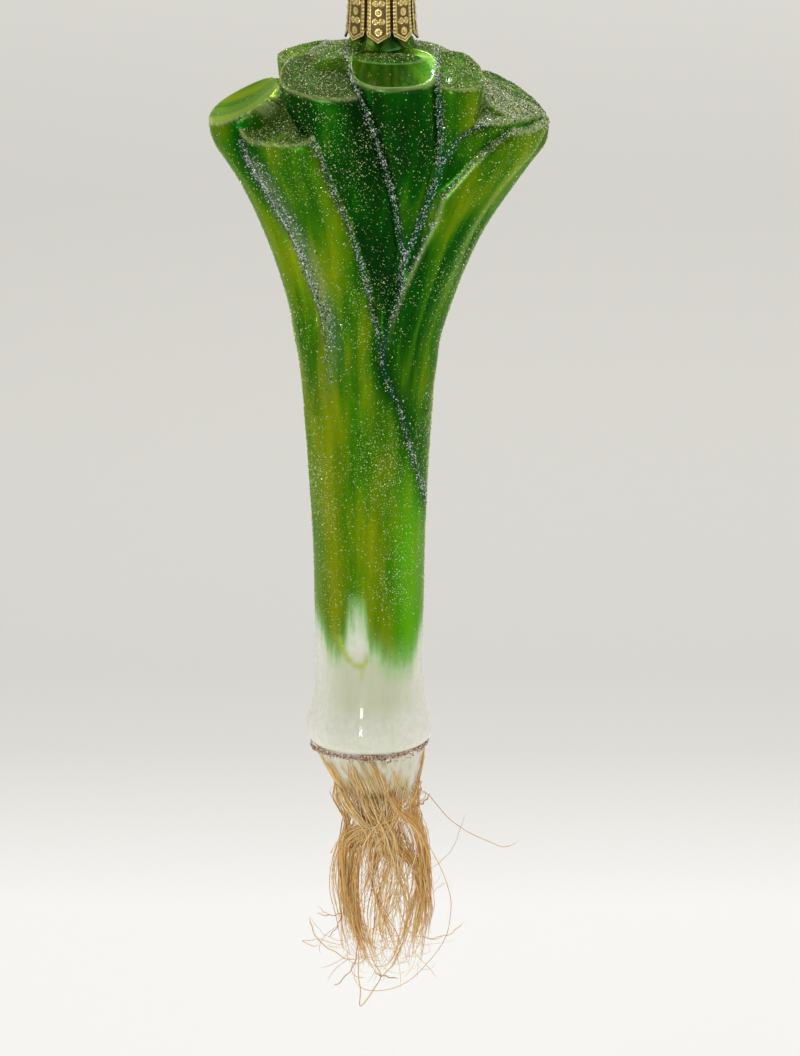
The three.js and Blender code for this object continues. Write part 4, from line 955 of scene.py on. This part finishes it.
# Stray fibres of the tassel as (radius in mm, path as (x, y, h))
STRAYS = [
    (0.08, [(3, -5, -13), (5.8, -2, -9.9), (6.6, -2, -9.5), (8, -2, -10.3), (9.6, -2, -12.5), (11.6, -2, -14.8), (13.8, -2, -16.5),
            (15.7, -2, -17.5), (17.9, -2, -18.8), (20.4, -2, -19.7), (22.3, -2, -19.5), (23.5, -2, -18.7)]),
    (0.045, [(14.3, -1, -14.2), (13.6, -1, -16.6), (12.7, -1, -18.9), (12.1, -1, -20.6), (10.8, -1, -22.1), (8.8, -1, -23.8), (7, -1, -25)]),
    (0.07, [(5, -4, -12), (6.9, -3, -15.9), (8, -3, -19.1), (9.7, -3, -22.5), (11, -3, -26), (11.9, -3, -29.2), (11.9, -3, -31.6),
            (11.2, -3, -35.1), (9.7, -3, -38.3), (7.5, -3, -41.2), (5, -3, -43.6), (2, -3, -45.3), (-1.1, -3, -45.9), (-3.6, -3, -45.3),
            (-5, -3, -43), (-4.4, -3, -40.1)]),
    (0.16, [(3.5, -5, -13), (5.5, -4, -11.8), (7, -4, -11.2), (8.3, -4, -9.6)]),
    (0.07, [(5.3, -4, -12.9), (5.8, -4, -10.3), (7.4, -4, -9.2), (6.9, -4, -10.6), (5.4, -4, -11.8), (3, -5, -13)]),
    (0.12, [(5, -5, -12.3), (6.4, -4.4, -12.4), (6.9, -4, -13.2), (6.6, -3, -15), (7, -3, -18)]),
    (0.1, [(-12.5, -3, -32.2), (-12.1, -3, -34.5), (-10.7, -3, -36.8), (-8.5, -3, -38.6), (-6, -3, -39.9), (-3, -3, -40.1)]),
    (0.08, [(-10.8, -1, -37.9), (-12.1, -1, -38.3), (-13.8, -1, -37.5), (-12.4, -1, -37.2), (-10.8, -1, -37.1), (-8.8, -1, -37.7),
            (-6.6, -1, -38.3)]),
    (0.09, [(-11.3, -3, -31.7), (-9.6, -3, -32), (-8, -3, -31.9), (-6.7, -3, -31.3), (-5.4, -3, -29)]),
    (0.06, [(-11, -3, -30.3), (-10, -3, -31.4), (-8.9, -3, -32)]),
    (0.08, [(-9.4, -2, -36.5), (-8, -2, -34.6), (-7.1, -2, -32.8), (-6.7, -2, -31.6), (-6.9, -2, -28.7)]),
    (0.05, [(-12.6, 0, -33.2), (-11, 0, -35.6), (-9.4, 0, -37), (-7.7, 0, -37.6), (-6.1, 0, -37.9)]),
    (0.11, [(-4.3, -2, -38), (-4.1, -2, -41.9), (-3.9, -2, -45.7), (-3.7, -2, -49.2), (-1.6, -2, -46), (-0.3, -2, -43.7), (-1.4, -2, -41),
            (-3, -2, -37)]),
    (0.12, [(-1.1, -2, -43.2), (0.6, -2, -43.6), (2.8, -2, -44)]),
    (0.1, [(-0.3, -2, -43.7), (1.7, -2, -41.6), (3.1, -2, -38.4), (3.9, -2, -35.1), (3.3, -2, -31.9), (2, -2, -28)]),
    (0.1, [(-8.5, -1, -45.6), (-7.5, -1, -45.1), (-6.1, -1, -43.6), (-5, -1, -42), (-4.4, -1, -39.3), (-4, -2, -36)]),
    (0.09, [(14, -2, -33.7), (12.7, -2, -35), (10.5, -2, -36.2), (7.8, -2, -36.5), (5, -2, -35.7), (3, -2, -34)]),
    (0.06, [(10.8, -3, -26), (10.1, -3, -26.6), (8.4, -3, -28)]),
    (0.06, [(-7, -3, -17), (-8.5, -3, -19.9), (-8.9, -3, -20.6)]),
    (0.06, [(6.6, -1, -16), (7.8, -1, -17.1), (7.5, -1, -19.5), (8, -1, -24.7), (9, -1, -28.5)]),
    (0.07, [(-8.1, -2, -7), (-8.1, -3, -8.7), (-7.9, -3, -10.7), (-6.8, -3, -12.7), (-6.4, -3, -15.9), (-7.1, -3, -18.2)]),
]


def roots():
    """The tassel: locks over the front and the back of the knob, loose curls at the foot, and stray fibres."""
    fibre = plant_fibre()
    front = [fibres(count, way, spread) for count, spread, way in LOCKS]
    back = []
    for number in AT_THE_BACK:
        count, spread, way = LOCKS[number]
        back.append(fibres(int(count * 0.4), [(0.6 - 0.95 * x, -y, h + 0.6) for x, y, h in way], spread))
        back.append(fibres(int(count * 0.3), [(0.3 + 0.9 * x, -y, h) for x, y, h in way], spread))
    for count, spread, way in AT_THE_SIDES:
        back.append(fibres(count, way, spread, (0.25, 1.4)))
    curled = [curls(70, (-6, -4, -41), (7, 3, -33), (4, 11), 2.4), curls(36, (-8, -3, -36), (9, 3, -16), (3, 9), 2.0),
              curls(26, (-3, -4, -28), (4, 2, -18), (6, 12), 1.2)]
    for name, groups, thin, thick in [("front_locks", front, 0.045, 0.125), ("back_locks", back, 0.045, 0.115), ("loose_curls", curled, 0.03, 0.07)]:
        paths = np.concatenate(groups)
        radius = thin + (thick - thin) * rng.random(len(paths)) ** 1.6
        lock_tone = np.concatenate([np.full(len(group), rng.normal(0, 0.1)) for group in groups])
        tones = np.clip(0.5 + lock_tone + rng.normal(0, 0.2, len(paths)), 0, 1)
        points, faces, marks = strand_mesh(paths, radius, tones)
        piece_from(name, points, faces, fibre, ["root_fibres"], marks=marks)
    paths = np.stack([through(way, 48) for _, way in STRAYS])
    sway = np.linspace(0, 1, 48)[None, :, None] * rng.uniform(2, 5, (len(STRAYS), 1, 3)) * 2 * np.pi
    paths += 0.1 * np.sin(sway + rng.random((len(STRAYS), 1, 3)) * 2 * np.pi)
    points, faces, marks = strand_mesh(paths, np.array([radius for radius, _ in STRAYS]), rng.uniform(0, 0.5, len(STRAYS)))
    return piece_from("stray_fibres", points, faces, fibre, ["root_fibres"], marks=marks)


def area_light(name, place, aim, size, power, tall=None, colour=(1, 1, 1)):
    light = bpy.data.lights.new(name, "AREA")
    light.shape = "RECTANGLE"
    light.size, light.size_y = size, tall or size
    light.energy = power
    light.color = colour
    lamp = bpy.data.objects.new(name, light)
    lamp.location = place
    lamp.rotation_mode = "QUATERNION"
    lamp.rotation_quaternion = (Vector(aim) - Vector(place)).to_track_quat("-Z", "Y")
    bpy.context.scene.collection.objects.link(lamp)


def studio():
    """A pale floor under the hanging ornament, soft light from all round, and small lights for the glass to mirror."""
    floor_mesh = bpy.data.meshes.new("floor")
    s, z = 6.0, -0.27
    floor_mesh.from_pydata([(-s, -s, z), (s, -s, z), (s, s, z), (-s, s, z)], [], [(0, 1, 2, 3)])
    floor_mesh.materials.append(pale_floor())
    floor = bpy.data.objects.new("floor", floor_mesh)
    bpy.context.scene.collection.objects.link(floor)
    world = bpy.data.worlds.new("studio")
    bpy.context.scene.world = world
    world.use_nodes = True
    tree = world.node_tree
    way = tree.nodes.new("ShaderNodeSeparateXYZ")
    tree.links.new(tree.nodes.new("ShaderNodeTexCoord").outputs["Generated"], way.inputs[0])
    share = tree.nodes.new("ShaderNodeMapRange")
    share.inputs["From Min"].default_value, share.inputs["From Max"].default_value = -0.8, 0.6
    share.inputs["To Min"].default_value, share.inputs["To Max"].default_value = 0.22, 0.8
    tree.links.new(way.outputs[1], share.inputs["Value"])
    tree.links.new(share.outputs[0], tree.nodes["Background"].inputs["Strength"])
    tree.nodes["Background"].inputs["Color"].default_value = (1.0, 0.99, 0.96, 1)
    middle = (0, 0, -0.09)
    area_light("key softbox", (-0.55, -0.75, 0.75), middle, 0.7, 1.6)
    area_light("side softbox", (0.95, -0.35, 0.35), middle, 0.5, 1.6, 1.0)
    area_light("top softbox", (0.1, 0.35, 1.1), middle, 0.9, 4.0)
    area_light("backdrop softbox", (1.2, 2.6, 1.5), (0.6, 1.7, -0.27), 1.6, 9.0)
    area_light("window strip", (-0.33, -1.2, -0.03), middle, 0.13, 2.8, 0.42)
    for k in range(6):
        area_light(f"ceiling spot {k + 1}", (-0.12 + 0.05 * k, 0.62, 0.665), middle, 0.02, 0.3)


skin_points, skin_faces, dense, roof_dust, flecks, rust = glass()
pale = [(0.0, paint(6, 34, 24)), (0.3, paint(24, 60, 46)), (0.42, paint(120, 150, 130)), (0.55, paint(220, 236, 220)), (1.0, paint(255, 255, 252))]
sandy = [(0.0, paint(48, 74, 12)), (0.4, paint(106, 132, 46)), (0.65, paint(198, 214, 140)), (1.0, paint(254, 255, 228))]
plum = [(0.0, paint(88, 50, 20)), (0.35, paint(148, 100, 62)), (0.5, paint(212, 174, 144)), (0.75, paint(248, 230, 212)), (1.0, paint(255, 251, 245))]
leafy = [(0.0, paint(140, 170, 66)), (0.4, paint(190, 212, 112)), (0.8, paint(232, 244, 168)), (1.0, paint(255, 255, 226))]
for name, where, count, low, high, tones in [("groove_glitter", dense, 17000, 0.08, 0.2, pale), ("top_glitter", roof_dust, 21000, 0.07, 0.18, sandy),
                                             ("leaf_flecks", flecks, 34000, 0.06, 0.16, leafy), ("loose_band_grains", rust, 1500, 0.08, 0.2, plum)]:
    grain_points, grain_faces, grain_marks = scatter(skin_points, skin_faces, where, count, low, high)
    piece_from(name, grain_points, grain_faces, glitter_grains(name.replace("_", " "), tones), smooth=False, marks=grain_marks)
cap()
wire()
band()
roots()
studio()
bpy.context.scene.view_settings.view_transform = "Standard"
